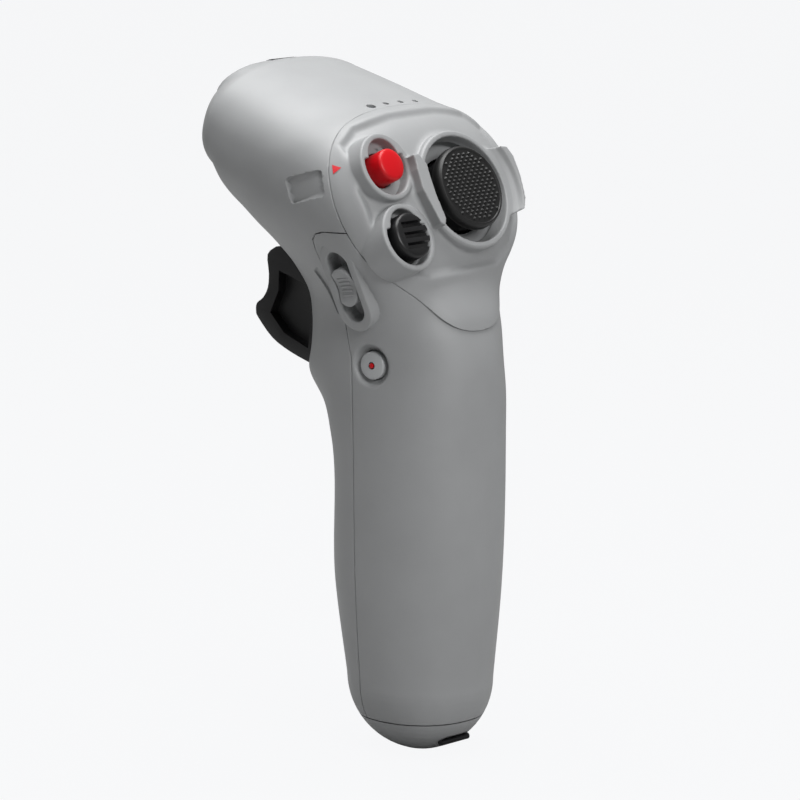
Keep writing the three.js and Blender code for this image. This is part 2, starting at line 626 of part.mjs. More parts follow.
const SHAFT_RADIUS = 1.6;
const CAP_THICKNESS = 3.6;
function stickShaft() {
  const p = STICK.pivot;
  const shaft = post(0, 0, p - 1.4, STICK.capTop - 2.4, SHAFT_RADIUS, SHAFT_RADIUS, 16);
  const cross = barY(0, -4.4, 4.4, p, TRUNNION, 16);
  return join(shaft, cross).translate([STICK.x, STICK.u, 0]);
}

// The domed skirt that closes the crater round the stick.
function stickDome() {
  const upright = at(0, 0, STICK.pivot).multiply(turned(Math.PI / 2, 0, 0));
  const ball = (r) => toSolid(new THREE.SphereGeometry(r, 28, 14), upright);
  const below = block(-20, 20, -20, 20, -20, STICK.pivot + 2);
  const above = block(-20, 20, -20, 20, STICK.capTop - CAP_THICKNESS - FIT, 20);
  const bore = post(0, 0, 0, 20, SHAFT_RADIUS + FIT, SHAFT_RADIUS + FIT, 16);
  const shell = cut(ball(DOME_RADIUS), ball(DOME_RADIUS - 1.1), below, above, bore);
  return shell.translate([STICK.x, STICK.u, 0]);
}

function stickCap() {
  const top = STICK.capTop;
  const r = STICK.cap;
  const low = top - CAP_THICKNESS;
  const outline = [[0, low], [8, low], [r, top - 1.9], [r, top - 1.1], [r - 0.9, top], [0, top]];
  const g = new THREE.LatheGeometry(outline.map(([a, b]) => new THREE.Vector2(a, b)), 32);
  const bore = post(0, 0, top - 5, top - 2.1, SHAFT_RADIUS + FIT, SHAFT_RADIUS + FIT, 16);
  return cut(toSolid(g, turned(Math.PI / 2, 0, 0)), bore).translate([STICK.x, STICK.u, 0]);
}

// ---- control board and its screws ----
const CONTROL_BOARD = [[-22, -3], [20.5, -3], [22, -25], [16, -41.2], [-9, -41.2], [-20.3, -34],
  [-20.3, -24], [-22, -20]];
function controlBoard() {
  const top = CONTROL_BOARD_TOP;
  return cut(faceSlab(CONTROL_BOARD, top - BOARD, top),
    ...FACE_POSTS.map(([x, u]) => post(x, u, top - 3, top + 1, SCREW_HOLE, SCREW_HOLE, 12)));
}

function screwFromBelow(x, u, head, tip) {
  const shank = post(x, u, head - 0.01, tip, SCREW_RADIUS, SCREW_RADIUS, 10);
  return join(post(x, u, head - SCREW_HEAD.height, head, SCREW_HEAD.radius, SCREW_HEAD.radius, 14), shank);
}

// ---- chassis, battery and main board ----
function chassis() {
  const y0 = CHASSIS_Y - PLATE / 2;
  const y1 = CHASSIS_Y + PLATE / 2;
  const plate = block(-CHASSIS_HALF, CHASSIS_HALF, y0, y1, BATTERY.bottom - 4, CHASSIS_TOP);
  const ends = [BATTERY.bottom - FIT - 1.6, BATTERY.bottom + BATTERY.length + FIT].map((z) =>
    block(-BATTERY.radius + 1, BATTERY.radius - 1, BATTERY.y - 5, y0 + 0.01, z, z + 1.6));
  const standoffs = boardScrewPlaces().map(([x, z]) => barY(x, y1 - 0.01, y1 + STANDOFF, z, 2));
  return cut(join(plate, ...ends, ...standoffs), ...chassisScrewHoles(y0 - 1, y1 + 1, SCREW_HOLE),
    ...boardScrewPlaces().map(([x, z]) => barY(x, y0 + 0.6, y1 + 5, z, SCREW_HOLE, 12)));
}

const MAIN_BOARD = { bottom: BATTERY.bottom + 4, top: N - 14 };
const boardScrewPlaces = () => [[0, MAIN_BOARD.bottom + 4], [0, MAIN_BOARD.top - 4]];

function mainBoard() {
  return cut(block(-MAIN_BOARD_HALF, MAIN_BOARD_HALF, MAIN_BOARD_Y - BOARD / 2, MAIN_BOARD_Y + BOARD / 2,
    MAIN_BOARD.bottom, MAIN_BOARD.top),
  ...boardScrewPlaces().map(([x, z]) => barY(x, MAIN_BOARD_Y - 3, MAIN_BOARD_Y + 3, z, SCREW_HOLE, 12)));
}

function battery() {
  const { radius, length, y, bottom } = BATTERY;
  const outline = [[0, 0], [radius - 0.6, 0], [radius, 0.6], [radius, length - 1.8],
    [radius - 0.8, length - 1], [3, length - 1], [3, length], [0, length]];
  const g = new THREE.LatheGeometry(outline.map(([a, b]) => new THREE.Vector2(a, b)), 32);
  return toSolid(g, at(0, y, bottom).multiply(turned(Math.PI / 2, 0, 0)));
}

// A small box-shaped component on the front of the main board.
function onMainBoard(halfX, depth, z0, z1) {
  const y = MAIN_BOARD_Y + BOARD / 2 + FIT;
  return block(-halfX, halfX, y, y + depth, z0, z1);
}

// ---- trigger ----
function triggerSolid() {
  const [py, pz] = TRIGGER_PIVOT;
  const faceLine = smooth(TRIGGER_FACE.map(([y, z]) => [y, z + N]), 30);
  const outline = [[py - 2, pz + KNUCKLE - 1.4], ...faceLine, [26.6, N - 7], [25.4, N + 2], [26.2, N + 12]];
  const slab = sideSlab(outline, -TRIGGER_HALF, TRIGGER_HALF);
  const rounded = join(slab, barX(-TRIGGER_HALF, TRIGGER_HALF, py, pz, KNUCKLE));
  const pocket = [[39.6, N + 13], [39.8, N + 8], [42.6, N + 2.4], [38, N - 2.2], [30, N - 5.2],
    [28.6, N + 3], [31, N + 10.6]];
  const pockets = [sideSlab(pocket, -9, -WEB_HALF), sideSlab(pocket, WEB_HALF, 9)];
  const springGap = block(-SPRING_SLOT, SPRING_SLOT, py - 9, py + KNUCKLE + 0.6,
    pz - KNUCKLE - 0.8, pz + 9);
  const bore = barX(-9, 9, py, pz, PIN_RADIUS + FIT, 16);
  return cut(rounded, ...pockets, springGap, bore, magnetRoom());
}

function sensorBoard() {
  const { y, half, bottom, top } = SENSOR;
  return join(block(-half, half, y, y + BOARD, bottom - 1 + FIT, top),
    block(-1.6, 1.6, y + BOARD - 0.01, y + BOARD + 1.2, MAGNET.z - 1.6, MAGNET.z + 1.6));
}

const MAGNET = { radius: 1.6, depth: 2, y: 25.6, z: N + 1 };
const magnetBack = MAGNET.y + MAGNET.depth;
const magnetRoom = () => barY(0, MAGNET.y - 3, magnetBack + FIT, MAGNET.z, MAGNET.radius + 0.02, 16);
const magnet = () => barY(0, MAGNET.y, magnetBack, MAGNET.z, MAGNET.radius - FIT, 16);

// A short coil round the pin.
function triggerSpring() {
  const [py, pz] = TRIGGER_PIVOT;
  const turns = 2.5;
  const radius = PIN_RADIUS + 0.9;
  const points = [];
  const steps = 10 * turns;
  for (let k = 0; k <= steps; k += 1) {
    const a = -Math.PI / 2 + (2 * Math.PI * turns * k) / steps;
    const x = lerp(-1.6, 1.6, k / steps);
    points.push(new THREE.Vector3(x, py + radius * Math.cos(a), pz + radius * Math.sin(a)));
  }
  const path = new THREE.CatmullRomCurve3(points);
  const section = new THREE.Shape();
  section.absarc(0, 0, 0.3, 0, 2 * Math.PI);
  return toSolid(new THREE.ExtrudeGeometry(section, { steps: 30, curveSegments: 3, extrudePath: path }));
}

// ---- slider, side buttons, dial ----
const SLIDER_LENGTH = SLIDER.length - 2 * SLIDER.travel - 2.4;
function tiltSlider() {
  const bodyPart = racetrack(SLIDER_LENGTH, SLIDER.width - 2 * FIT, -2.7, 1.6);
  const scoop = barX(-6, 6, 0, 7.2, 6.6, 32);
  const stem = block(-0.8, 0.8, -2, 2, -5.9, -2.69);
  return join(cut(bodyPart, scoop), stem);
}

function sliderSensor() {
  const end = SLIDER.length / 2 - 3;
  const base = block(-1.8, 1.8, -end, end, -7.4, -6.2);
  const rail = (side) => block(side * 1.5 - 0.3, side * 1.5 + 0.3, -end, end, -6.21, -4.3);
  return join(base, rail(-1), rail(1));
}

function sideButton(b) {
  const flangeTopAt = WELL.floor - FIT;
  const cap = post(0, 0, flangeTopAt - 0.01, -0.9, b.button, b.button - 0.25, 28);
  return join(cap, post(0, 0, flangeTopAt - FLANGE, flangeTopAt, b.button + 1.1, b.button + 1.1, 28));
}

const DOT_RADIUS = 0.9;
const dotHole = () => post(0, 0, -2, 0, DOT_RADIUS + 0.02, DOT_RADIUS + 0.02, 16);
const recordButton = () => cut(sideButton(RECORD), dotHole());
const recordDot = () => post(0, 0, -2 + FIT, -0.7, DOT_RADIUS - FIT, DOT_RADIUS - FIT, 16);

// A switch on a round board that closes the well from inside.
function sideSwitch(b) {
  const top = WELL.floor - FIT - FLANGE - SIDE_TRAVEL - FIT;
  const boardTop = WELL.end - FIT;
  const body = block(-2.4, 2.4, -2.4, 2.4, boardTop - 0.01, top);
  return join(post(0, 0, boardTop - 1, boardTop, b.recess + 1.2), body);
}

function dialWheel() {
  const [y, z] = DIAL_CENTRE;
  const ribs = [];
  const count = 18;
  for (let k = 0; k < count; k += 1) {
    const a = (2 * Math.PI * k) / count;
    const [ry, rz] = [y + DIAL.radius * Math.cos(a), z + DIAL.radius * Math.sin(a)];
    ribs.push(barX(-DIAL.half - 1, DIAL.half + 1, ry, rz, 0.45, 6));
  }
  return cut(barX(-DIAL.half, DIAL.half, y, z, DIAL.radius, 36), ...ribs,
    barX(-9, 9, y, z, AXLE_RADIUS + FIT, 16));
}

// ---- charge lights on the head's top ----
const LIGHTS = { x0: -7.8, step: 5.2, y: 8.2, radius: 0.5 };
const LIGHT_BAR_TOP = N + 52.8;
const lightPlaces = () => [0, 1, 2, 3].map((k) => LIGHTS.x0 + k * LIGHTS.step);

// Four round bars on the lights' places; the first light is a little wider.
function lightBars(bottom, top, grow) {
  return lightPlaces().map((x, k) => {
    const r = LIGHTS.radius + grow + (k === 0 ? 0.4 : 0);
    return post(x, LIGHTS.y, bottom, top, r, r, 12);
  });
}

const lightHoles = () => lightBars(N + 45, N + 70, FIT);

function lightGuide() {
  const end = LIGHTS.x0 + 3 * LIGHTS.step + 2;
  const bar = block(LIGHTS.x0 - 2, end, LIGHTS.y - 1.5, LIGHTS.y + 1.5, LIGHT_BAR_TOP - 2.4, LIGHT_BAR_TOP);
  const prongs = lightBars(LIGHT_BAR_TOP - 0.01, N + 64, 0);
  return join(bar, ...prongs.map((p) => shared(p, skin(0.25))));
}

// ---- antenna under the head's top ----
const ANTENNA = { half: 9, y0: 20, y1: 35, z: N + 55 };
function antennaRibs() {
  const { y0, y1, z } = ANTENNA;
  return [-6, 6].map((x) => shared(block(x - 0.6, x + 0.6, y0, y1, z + FIT, N + 90), outerSkin));
}

function antennaBoard() {
  const { half, y0, y1, z } = ANTENNA;
  return block(-half, half, y0, y1, z - 1, z);
}

// ---- assembly ----
piece('front_shell', frontShell(), greyPlastic());
piece('back_cover', backCover(), greyPlastic());
piece('bottom_cap', bottomCap(), greyPlastic());
piece('usb_port', usbPort(), steel());
piece('cord_bar', cordBar(), steel());
piece('face_plate', facePlate(), greyPlastic(), face);

piece('lock_button', faceButton(LOCK, LOCK_TOP, []), redPlastic(), face);
piece('lock_switch', faceSwitch(LOCK), blackPlastic(), face);
piece('mode_button', faceButton(MODE, MODE_TOP, modeGrooves()), blackPlastic(), face);
piece('mode_switch', faceSwitch(MODE), blackPlastic(), face);
piece('joystick_housing', stickHousing(), steel(), face);
piece('joystick_yoke', stickYoke(), blackPlastic(), face);
piece('joystick_shaft', stickShaft(), steel(), face);
piece('joystick_dome', stickDome(), blackPlastic(), face);
piece('joystick_cap', stickCap(), rubber(), face);
piece('control_board', controlBoard(), board(), face);
FACE_POSTS.forEach(([x, u], k) => {
  const head = CONTROL_BOARD_TOP - BOARD - FIT;
  piece(`board_screw_${k + 1}`, screwFromBelow(x, u, head, CONTROL_BOARD_TOP + 5.5), steel(), face);
});

piece('chassis', chassis(), blackPlastic());
piece('battery_cell', battery(), material(0x2a5a8c, 0.5));
piece('main_board', mainBoard(), board());
piece('radio_module', onMainBoard(5, 2, N - 34, N - 22), steel());
piece('vibration_motor', onMainBoard(3.5, 3, 40, 52), steel());
piece('charge_connector', onMainBoard(4, 2.6, MAIN_BOARD.bottom + 9, MAIN_BOARD.bottom + 14), steel());

const chassisBack = CHASSIS_Y - PLATE / 2;
let screws = 0;
for (const z of BOSS_HEIGHTS) {
  for (const side of [-1, 1]) {
    screws += 1;
    const head = barY(side * BOSS_X, chassisBack - FIT - 1.4, chassisBack - FIT, z, 2, 16);
    const shank = barY(side * BOSS_X, chassisBack - FIT - 0.01, CHASSIS_Y + 8 - FIT, z, SCREW_RADIUS, 12);
    piece(`chassis_screw_${screws}`, join(head, shank), steel());
  }
}
boardScrewPlaces().forEach(([x, z], k) => {
  const front = MAIN_BOARD_Y + BOARD / 2 + FIT;
  const shank = barY(x, chassisBack + 0.6 + FIT, front + 0.01, z, SCREW_RADIUS, 12);
  piece(`main_screw_${k + 1}`, join(barY(x, front, front + 1.4, z, 2, 16), shank), steel());
});

piece('trigger', triggerSolid(), blackPlastic());
piece('trigger_pin', barX(-TRIGGER_HALF - 2.3, TRIGGER_HALF + 2.3, ...TRIGGER_PIVOT, PIN_RADIUS, 16), steel());
piece('trigger_spring', triggerSpring(), steel());
piece('trigger_magnet', magnet(), steel());
piece('trigger_sensor', sensorBoard(), board());

piece('tilt_slider', tiltSlider(), greyPlastic(), sliderFrame);
piece('slider_sensor', sliderSensor(), blackPlastic(), sliderFrame);
piece('record_button', recordButton(), material(0xb4b6b8, 0.4), recordFrame);
piece('record_dot', recordDot(), redPlastic(), recordFrame);
piece('record_switch', sideSwitch(RECORD), board(), recordFrame);
piece('power_button', sideButton(POWER), greyPlastic(), powerFrame);
piece('power_switch', sideSwitch(POWER), board(), powerFrame);
piece('function_dial', dialWheel(), blackPlastic());
piece('dial_axle', barX(-AXLE_HALF, AXLE_HALF, ...DIAL_CENTRE, AXLE_RADIUS, 16), steel());
piece('light_guide', lightGuide(), material(0xe8eef0, 0.2));
piece('antenna_board', antennaBoard(), board());

export default root;
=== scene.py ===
# %% [markdown]
# # A one-hand motion controller, modelled in Blender
# This lesson dresses a finished engineering model in its visible surfaces. The engineering
# model arrives as a fixed frame: every solid is in place, in metres, and moves with a body.
# Each visible piece is then sculpted round it, given a finish, and told which body it rides on.

# %% Load the frame
import math

import bpy
import numpy as np
from mathutils import Matrix, Vector


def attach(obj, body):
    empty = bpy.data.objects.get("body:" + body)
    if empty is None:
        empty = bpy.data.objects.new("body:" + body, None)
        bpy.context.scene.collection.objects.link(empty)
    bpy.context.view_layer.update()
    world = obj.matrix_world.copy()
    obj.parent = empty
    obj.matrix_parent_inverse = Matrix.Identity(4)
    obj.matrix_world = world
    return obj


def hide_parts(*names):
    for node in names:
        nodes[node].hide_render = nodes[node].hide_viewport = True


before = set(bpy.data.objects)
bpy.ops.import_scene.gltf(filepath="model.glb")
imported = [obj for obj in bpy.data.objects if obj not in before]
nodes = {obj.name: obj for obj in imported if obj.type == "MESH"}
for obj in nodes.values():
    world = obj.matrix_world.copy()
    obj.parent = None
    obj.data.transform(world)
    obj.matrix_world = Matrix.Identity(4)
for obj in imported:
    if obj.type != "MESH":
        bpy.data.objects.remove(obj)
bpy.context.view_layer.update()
MM = 0.001

# %% [markdown]
# ## Camera
# The controller stands upright and is looked at from behind its left shoulder, slightly from
# above, with a long lens, so that its sides stay nearly parallel. A long lens far away flattens
# a hand-sized object the way a product picture does. The camera comes first because all the
# light is then judged through it.

# %% Camera
AZIMUTH = math.radians(-48)
ELEVATION = math.radians(10)
DISTANCE = 1.1
TARGET = Vector((0, 0.006, 0.084))
back = Vector((math.sin(AZIMUTH) * math.cos(ELEVATION), -math.cos(AZIMUTH) * math.cos(ELEVATION),
               math.sin(ELEVATION)))
bpy.ops.object.camera_add(location=TARGET + back * DISTANCE,
                          rotation=(math.pi / 2 - ELEVATION, 0, AZIMUTH))
camera = bpy.context.object
camera.data.lens = 205.4
camera.data.sensor_width = 36
camera.data.clip_start = 0.05
bpy.context.scene.camera = camera
bpy.context.scene.view_settings.view_transform = 'Standard'
print("camera stands", round(DISTANCE, 2), "m away")

# %% [markdown]
# ## Small helpers
# Most pieces are made at a scale of one unit per millimetre, because moulded plastic is drawn in
# millimetres and Blender's tools round less there. A helper brings each finished mesh down to
# metres. The others keep the selection clean, run a modifier and apply it, and join or cut
# solids.

# %% Helpers for selection and modifiers
def pick(*objects):
    bpy.ops.object.select_all(action='DESELECT')
    for o in objects:
        o.select_set(True)
    bpy.context.view_layer.objects.active = objects[-1]
    return objects[-1]


def edit(obj, select='SELECT'):
    pick(obj)
    bpy.ops.object.mode_set(mode='EDIT')
    bpy.ops.mesh.select_all(action=select)


def leave():
    bpy.ops.object.mode_set(mode='OBJECT')


def finish_modifier(obj, kind, **settings):
    pick(obj)
    modifier = obj.modifiers.new(kind.title(), kind)
    for key, value in settings.items():
        setattr(modifier, key, value)
    bpy.ops.object.modifier_apply(modifier=modifier.name)
    return obj


def drop(*objects):
    for o in objects:
        bpy.data.objects.remove(o)


def combine(obj, others, operation, keep=False):
    for other in others:
        finish_modifier(obj, 'BOOLEAN', operation=operation, solver='MANIFOLD', object=other)
        if not keep:
            drop(other)
    return obj


def join(obj, *others):
    return combine(obj, others, 'UNION')


def cut(obj, *others):
    return combine(obj, others, 'DIFFERENCE')


def keep_inside(obj, *others):
    return combine(obj, others, 'INTERSECT')


def copy_of(obj, name):
    twin = obj.copy()
    twin.data = obj.data.copy()
    twin.name = name
    twin.parent = None
    bpy.context.scene.collection.objects.link(twin)
    return twin


def tidy_normals(obj, gap=1e-4):
    edit(obj)
    bpy.ops.mesh.remove_doubles(threshold=gap)
    bpy.ops.mesh.normals_make_consistent(inside=False)
    leave()
    return obj


def points(obj):
    co = np.empty(len(obj.data.vertices) * 3, np.float32)
    obj.data.vertices.foreach_get("co", co)
    return co.reshape(-1, 3).astype(float)


def set_points(obj, co):
    obj.data.vertices.foreach_set("co", np.asarray(co, np.float32).ravel())
    obj.data.update()
    return obj


# %% [markdown]
# ## Drawing solids
# Three ways of drawing cover almost every cutter and raised part here. A flat outline is
# extruded to a slab. A round part grows from a disc that is extruded ring by ring. A slot is an
# outline with two half circles. Each is drawn flat, on a little table of its own, and then
# carried to its place by a matrix.

# %% Slabs, turned parts and slots
def named(name):
    obj = bpy.context.object
    obj.name = obj.data.name = name
    return obj


def slab(name, outline, low, high, place=None):
    bpy.ops.mesh.primitive_circle_add(vertices=len(outline), fill_type='NGON')
    obj = named(name)
    set_points(obj, [(a, b, low) for a, b in outline])
    edit(obj)
    bpy.ops.mesh.extrude_region_move(TRANSFORM_OT_translate={"value": (0, 0, high - low)})
    bpy.ops.mesh.select_all(action='SELECT')
    bpy.ops.mesh.normals_make_consistent(inside=False)
    leave()
    if place is not None:
        obj.data.transform(place)
    return obj


def turned(name, profile, sides=64, place=None):
    (radius, height), rest = profile[0], profile[1:]
    bpy.ops.mesh.primitive_circle_add(vertices=sides, radius=radius, fill_type='NGON')
    obj = named(name)
    edit(obj)
    bpy.ops.transform.translate(value=(0, 0, height))
    for r, h in rest:
        bpy.ops.mesh.extrude_region_move(TRANSFORM_OT_translate={"value": (0, 0, h - height)})
        bpy.ops.transform.resize(value=(r / radius, r / radius, 1), center_override=(0, 0, h))
        radius, height = r, h
    bpy.ops.mesh.select_all(action='SELECT')
    bpy.ops.mesh.normals_make_consistent(inside=False)
    leave()
    if place is not None:
        obj.data.transform(place)
    return obj


def slot_outline(length, width, steps=12):
    r = width / 2
    half = length / 2 - r
    arc = [math.pi * k / steps for k in range(steps + 1)]
    top = [(r * math.cos(a), half + r * math.sin(a)) for a in arc]
    return top + [(-x, -y) for x, y in top]


def round_edges(obj, width, segments=3, angle=35):
    finish_modifier(obj, 'BEVEL', width=width, segments=segments, limit_method='ANGLE',
                    angle_limit=math.radians(angle), use_clamp_overlap=True)
    return obj


def soften(obj, voxel, rounds, factor=0.5):
    finish_modifier(obj, 'REMESH', mode='VOXEL', voxel_size=voxel)
    if rounds:
        finish_modifier(obj, 'SMOOTH', factor=factor, iterations=rounds)
    return obj


def thin_out(obj, most):
    faces = sum(len(p.vertices) - 2 for p in obj.data.polygons)
    if faces > most:
        finish_modifier(obj, 'DECIMATE', ratio=most / faces)
    return obj


# %% [markdown]
# ## Finishing a piece
# A finished piece is scaled to metres, shaded smooth up to a crease angle, given its material
# and its name, and set to ride on a body. Where it takes over from a plain
# engineering solid, that solid is hidden.

# %% Finish a piece
def settle(obj, name, body, material, replaced=(), angle=40):
    obj.data.transform(Matrix.Scale(MM, 4))
    obj.name = obj.data.name = name
    obj.data.materials.clear()
    obj.data.materials.append(material)
    pick(obj)
    bpy.ops.object.shade_smooth_by_angle(angle=math.radians(angle))
    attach(obj, body)
    if replaced:
        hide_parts(*replaced)
    print(name, "has", sum(len(p.vertices) - 2 for p in obj.data.polygons), "triangles")
    return obj


# %% [markdown]
# ## Finishes
# Moulded plastic is never one flat colour: it has a fine spark-eroded grain, a faint mottling
# from flow in the mould, and edges that handling has polished a little. Each finish is one
# shader with a fine noise for grain, a wider one for mottling, and its roughness varied with
# the fine one. A fixed number stays on the shader's own socket.

# %% A finish for moulded plastic and rubber
def finish(name, colour, roughness, grain=0.35, grain_scale=5200, mottling=0.03, specular=0.5,
           metallic=0.0, coat=0.0, depth=0.00004):
    material = bpy.data.materials.new(name)
    material.use_nodes = True
    tree = material.node_tree
    add = tree.nodes.new
    shader = tree.nodes["Principled BSDF"]
    shader.inputs["Metallic"].default_value = metallic
    shader.inputs["Specular IOR Level"].default_value = specular
    shader.inputs["Coat Weight"].default_value = coat
    place = add('ShaderNodeTexCoord')
    wide = add('ShaderNodeTexNoise')
    wide.inputs["Scale"].default_value = 90
    wide.inputs["Detail"].default_value = 4
    fine = add('ShaderNodeTexNoise')
    fine.inputs["Scale"].default_value = grain_scale
    fine.inputs["Detail"].default_value = 3
    for noise in (wide, fine):
        tree.links.new(place.outputs["Object"], noise.inputs["Vector"])
    tone = add('ShaderNodeValToRGB')
    tone.color_ramp.elements[0].position = 0.3
    tone.color_ramp.elements[1].position = 0.7
    tone.color_ramp.elements[0].color = [c * (1 - mottling) for c in colour] + [1]
    tone.color_ramp.elements[1].color = [min(1, c * (1 + mottling)) for c in colour] + [1]
    tree.links.new(wide.outputs["Fac"], tone.inputs["Fac"])
    tree.links.new(tone.outputs["Color"], shader.inputs["Base Color"])
    sheen = add('ShaderNodeMapRange')
    sheen.inputs["To Min"].default_value = roughness - 0.05
    sheen.inputs["To Max"].default_value = roughness + 0.05
    tree.links.new(fine.outputs["Fac"], sheen.inputs["Value"])
    tree.links.new(sheen.outputs["Result"], shader.inputs["Roughness"])
    bump = add('ShaderNodeBump')
    bump.inputs["Strength"].default_value = grain
    bump.inputs["Distance"].default_value = depth
    tree.links.new(fine.outputs["Fac"], bump.inputs["Height"])
    tree.links.new(bump.outputs["Normal"], shader.inputs["Normal"])
    return material


# %% The finishes
GREY = finish("grey moulded plastic", (0.255, 0.26, 0.264), 0.5)
BLACK = finish("black moulded plastic", (0.004, 0.004, 0.0045), 0.36, grain=0.25, specular=0.35)
RED = finish("red button plastic", (0.47, 0.001, 0.005), 0.38, grain=0.12, mottling=0.02, specular=0.3)
RUBBER = finish("knurled rubber", (0.004, 0.004, 0.004), 0.45, grain=0.3, specular=0.35)
PALE = finish("pale button plastic", (0.36, 0.37, 0.375), 0.3, grain=0.12)
STEEL = finish("plated steel", (0.55, 0.55, 0.56), 0.3, metallic=1.0, grain=0.1)
DARK_STEEL = finish("blackened steel", (0.03, 0.03, 0.032), 0.4, metallic=1.0, grain=0.1)
BOARD = finish("circuit board lacquer", (0.012, 0.085, 0.04), 0.4, mottling=0.12)
WRAP = finish("battery wrap", (0.02, 0.07, 0.2), 0.3, grain=0.1)
LAMP = finish("smoked light guide", (0.06, 0.065, 0.07), 0.25, grain=0.05)
MARK = finish("printed red mark", (0.52, 0.012, 0.02), 0.45, grain=0.1)
print("finishes:", len(bpy.data.materials))

# %% [markdown]
# ## The body skin
# The whole housing is one flowing form: a rounded grip that leans into a head, closed by a
# blunt nose. Such a form is easiest to hold as sections: each section is a squared ellipse with
# a rear point, a front point and a half width, and the numbers run smoothly from one section
# to the next. A sphere already has the right net, rings between two poles, so a sphere is added
# and each of its rings is laid on a section.

# %% Sections of the skin
NECK = 100.0
GRIP = 19.0
HEAD = 31.2
# rear y, rear z, front y, front z, half width, widest place, squareness behind and in front
SECTIONS = np.array([
    [-18.0, 17, 16.8, 18, GRIP - 2.1, .5, 2.2, 2.2],
    [-20.4, 40, 20.4, 40, GRIP - 0.7, .5, 2.2, 2.2],
    [-21.4, NECK - 22, 21.6, NECK - 24, GRIP, .5, 2.2, 2.2],
    [-21.6, NECK - 12, 24.5, NECK - 16.5, GRIP + 0.1, .5, 2.2, 2.1],
    [-21.2, NECK - 4, 30.2, NECK - 9.6, GRIP + 0.2, .5, 2.2, 2.0],
    [-19.8, NECK + 3, 29.5, NECK - 3.5, GRIP + 0.5, .45, 2.2, 2.0],
    [-17.6, NECK + 9.5, 30.0, NECK + 3, GRIP + 0.9, .37, 2.2, 1.9],
    [-15.9, NECK + 16, 32.0, NECK + 9, HEAD - 8.9, .28, 2.2, 1.7],
    [-15.2, NECK + 24, 36.0, NECK + 14.5, HEAD - 4.4, .25, 2.5, 1.6],
    [-12.0, NECK + 34, 40.0, NECK + 19.5, HEAD - 1.0, .25, 2.8, 1.7],
    [-7.0, NECK + 45, 43.0, NECK + 23.5, HEAD, .32, 2.9, 1.9],
    [0.5, NECK + 53.4, 45.2, NECK + 27, HEAD - 0.6, .4, 2.5, 2.1],
    [10.0, NECK + 56.3, 46.3, NECK + 30, HEAD - 1, .45, 2.4, 2.3],
    [24.0, NECK + 60.3, 46.5, NECK + 32.5, HEAD - 1.6, .48, 2.4, 2.4],
    [37.0, NECK + 63.8, 46.2, NECK + 35, HEAD - 2.7, .5, 2.4, 2.4]])
BOTTOM_TIP = np.array([-0.8, -0.7])
NOSE_TIP = np.array([49.8, NECK + 53])
BOTTOM_TAPER, NOSE_TAPER = 1.0, 0.6

middles = SECTIONS[:, 0:2] + (SECTIONS[:, 2:4] - SECTIONS[:, 0:2]) * SECTIONS[:, 5:6]
steps_between = np.hypot(*np.diff(middles, axis=0).T)
PLACES = np.concatenate([[0], np.cumsum(steps_between)])
rises = np.diff(SECTIONS, axis=0) / steps_between[:, None]
weights = steps_between[:, None]
inner_slopes = ((rises[1:] * weights[:-1] + rises[:-1] * weights[1:])
                / (weights[:-1] + weights[1:]))
SLOPES = np.vstack([rises[:1], inner_slopes, rises[-1:]])


def section_at(place):
    i = int(min(np.searchsorted(PLACES, place, side='right') - 1, len(PLACES) - 2))
    h = steps_between[i]
    t = (place - PLACES[i]) / h
    return (SECTIONS[i] * (2 * t ** 3 - 3 * t ** 2 + 1) + SLOPES[i] * h * (t ** 3 - 2 * t ** 2 + t)
            + SECTIONS[i + 1] * (3 * t ** 2 - 2 * t ** 3) + SLOPES[i + 1] * h * (t ** 3 - t ** 2))


def ring_at(place, inset, sides):
    section = section_at(place)
    rear, front, widest = section[0:2], section[2:4], section[5]
    share = inset / np.hypot(*(rear - front))
    mid = rear + (front - rear) * widest
    turn = 2 * np.pi * np.arange(sides) / sides
    c, s = np.cos(turn), np.sin(turn)
    power = np.where(c > 0, 2 / section[6], 2 / section[7])
    reach = np.abs(c) ** power
    ends = np.where(c[:, None] > 0, rear + (front - rear) * share, front + (rear - front) * share)
    yz = mid + (ends - mid) * reach[:, None]
    x = (section[4] - inset) * np.sign(s) * np.abs(s) ** power
    return np.column_stack([x, yz])


def closing_rings(ring, tip, taper, count):
    centre = ring[:, 1:].mean(axis=0)
    rings = []
    for k in range(1, count):
        angle = math.pi / 2 * k / count
        size = math.cos(angle) ** taper
        middle = centre + (tip - centre) * math.sin(angle)
        rings.append(np.column_stack([ring[:, 0] * size, middle + (ring[:, 1:] - centre) * size]))
    return rings


# %% Lay a sphere's rings on the sections
def skin(name, inset=0.0, sides=120, steps=150, ends=16):
    body = [ring_at(p, inset, sides) for p in np.linspace(0, PLACES[-1], steps)]
    low, nose = BOTTOM_TIP + [0, inset], NOSE_TIP - [inset, 0]
    rings = (closing_rings(body[0], low, BOTTOM_TAPER, ends)[::-1] + body
             + closing_rings(body[-1], nose, NOSE_TAPER, ends))
    bpy.ops.mesh.primitive_uv_sphere_add(segments=sides, ring_count=len(rings) + 1)
    ball = named(name)
    co = points(ball)
    row = np.rint(np.arccos(np.clip(-co[:, 2], -1, 1)) / math.pi * (len(rings) + 1)).astype(int)
    side = np.rint(np.arctan2(co[:, 1], co[:, 0]) / (2 * math.pi) * sides).astype(int) % sides
    net = np.array([np.tile([0, *low], (sides, 1))] + rings + [np.tile([0, *nose], (sides, 1))])
    set_points(ball, net[row, side])
    return tidy_normals(ball, 1e-5)


# %% [markdown]
# ## Frames on the body
# The thumb's controls lie in the face, which leans back; the slider and the round buttons lie
# in the sides. Each control is drawn flat and then carried by its frame's matrix.

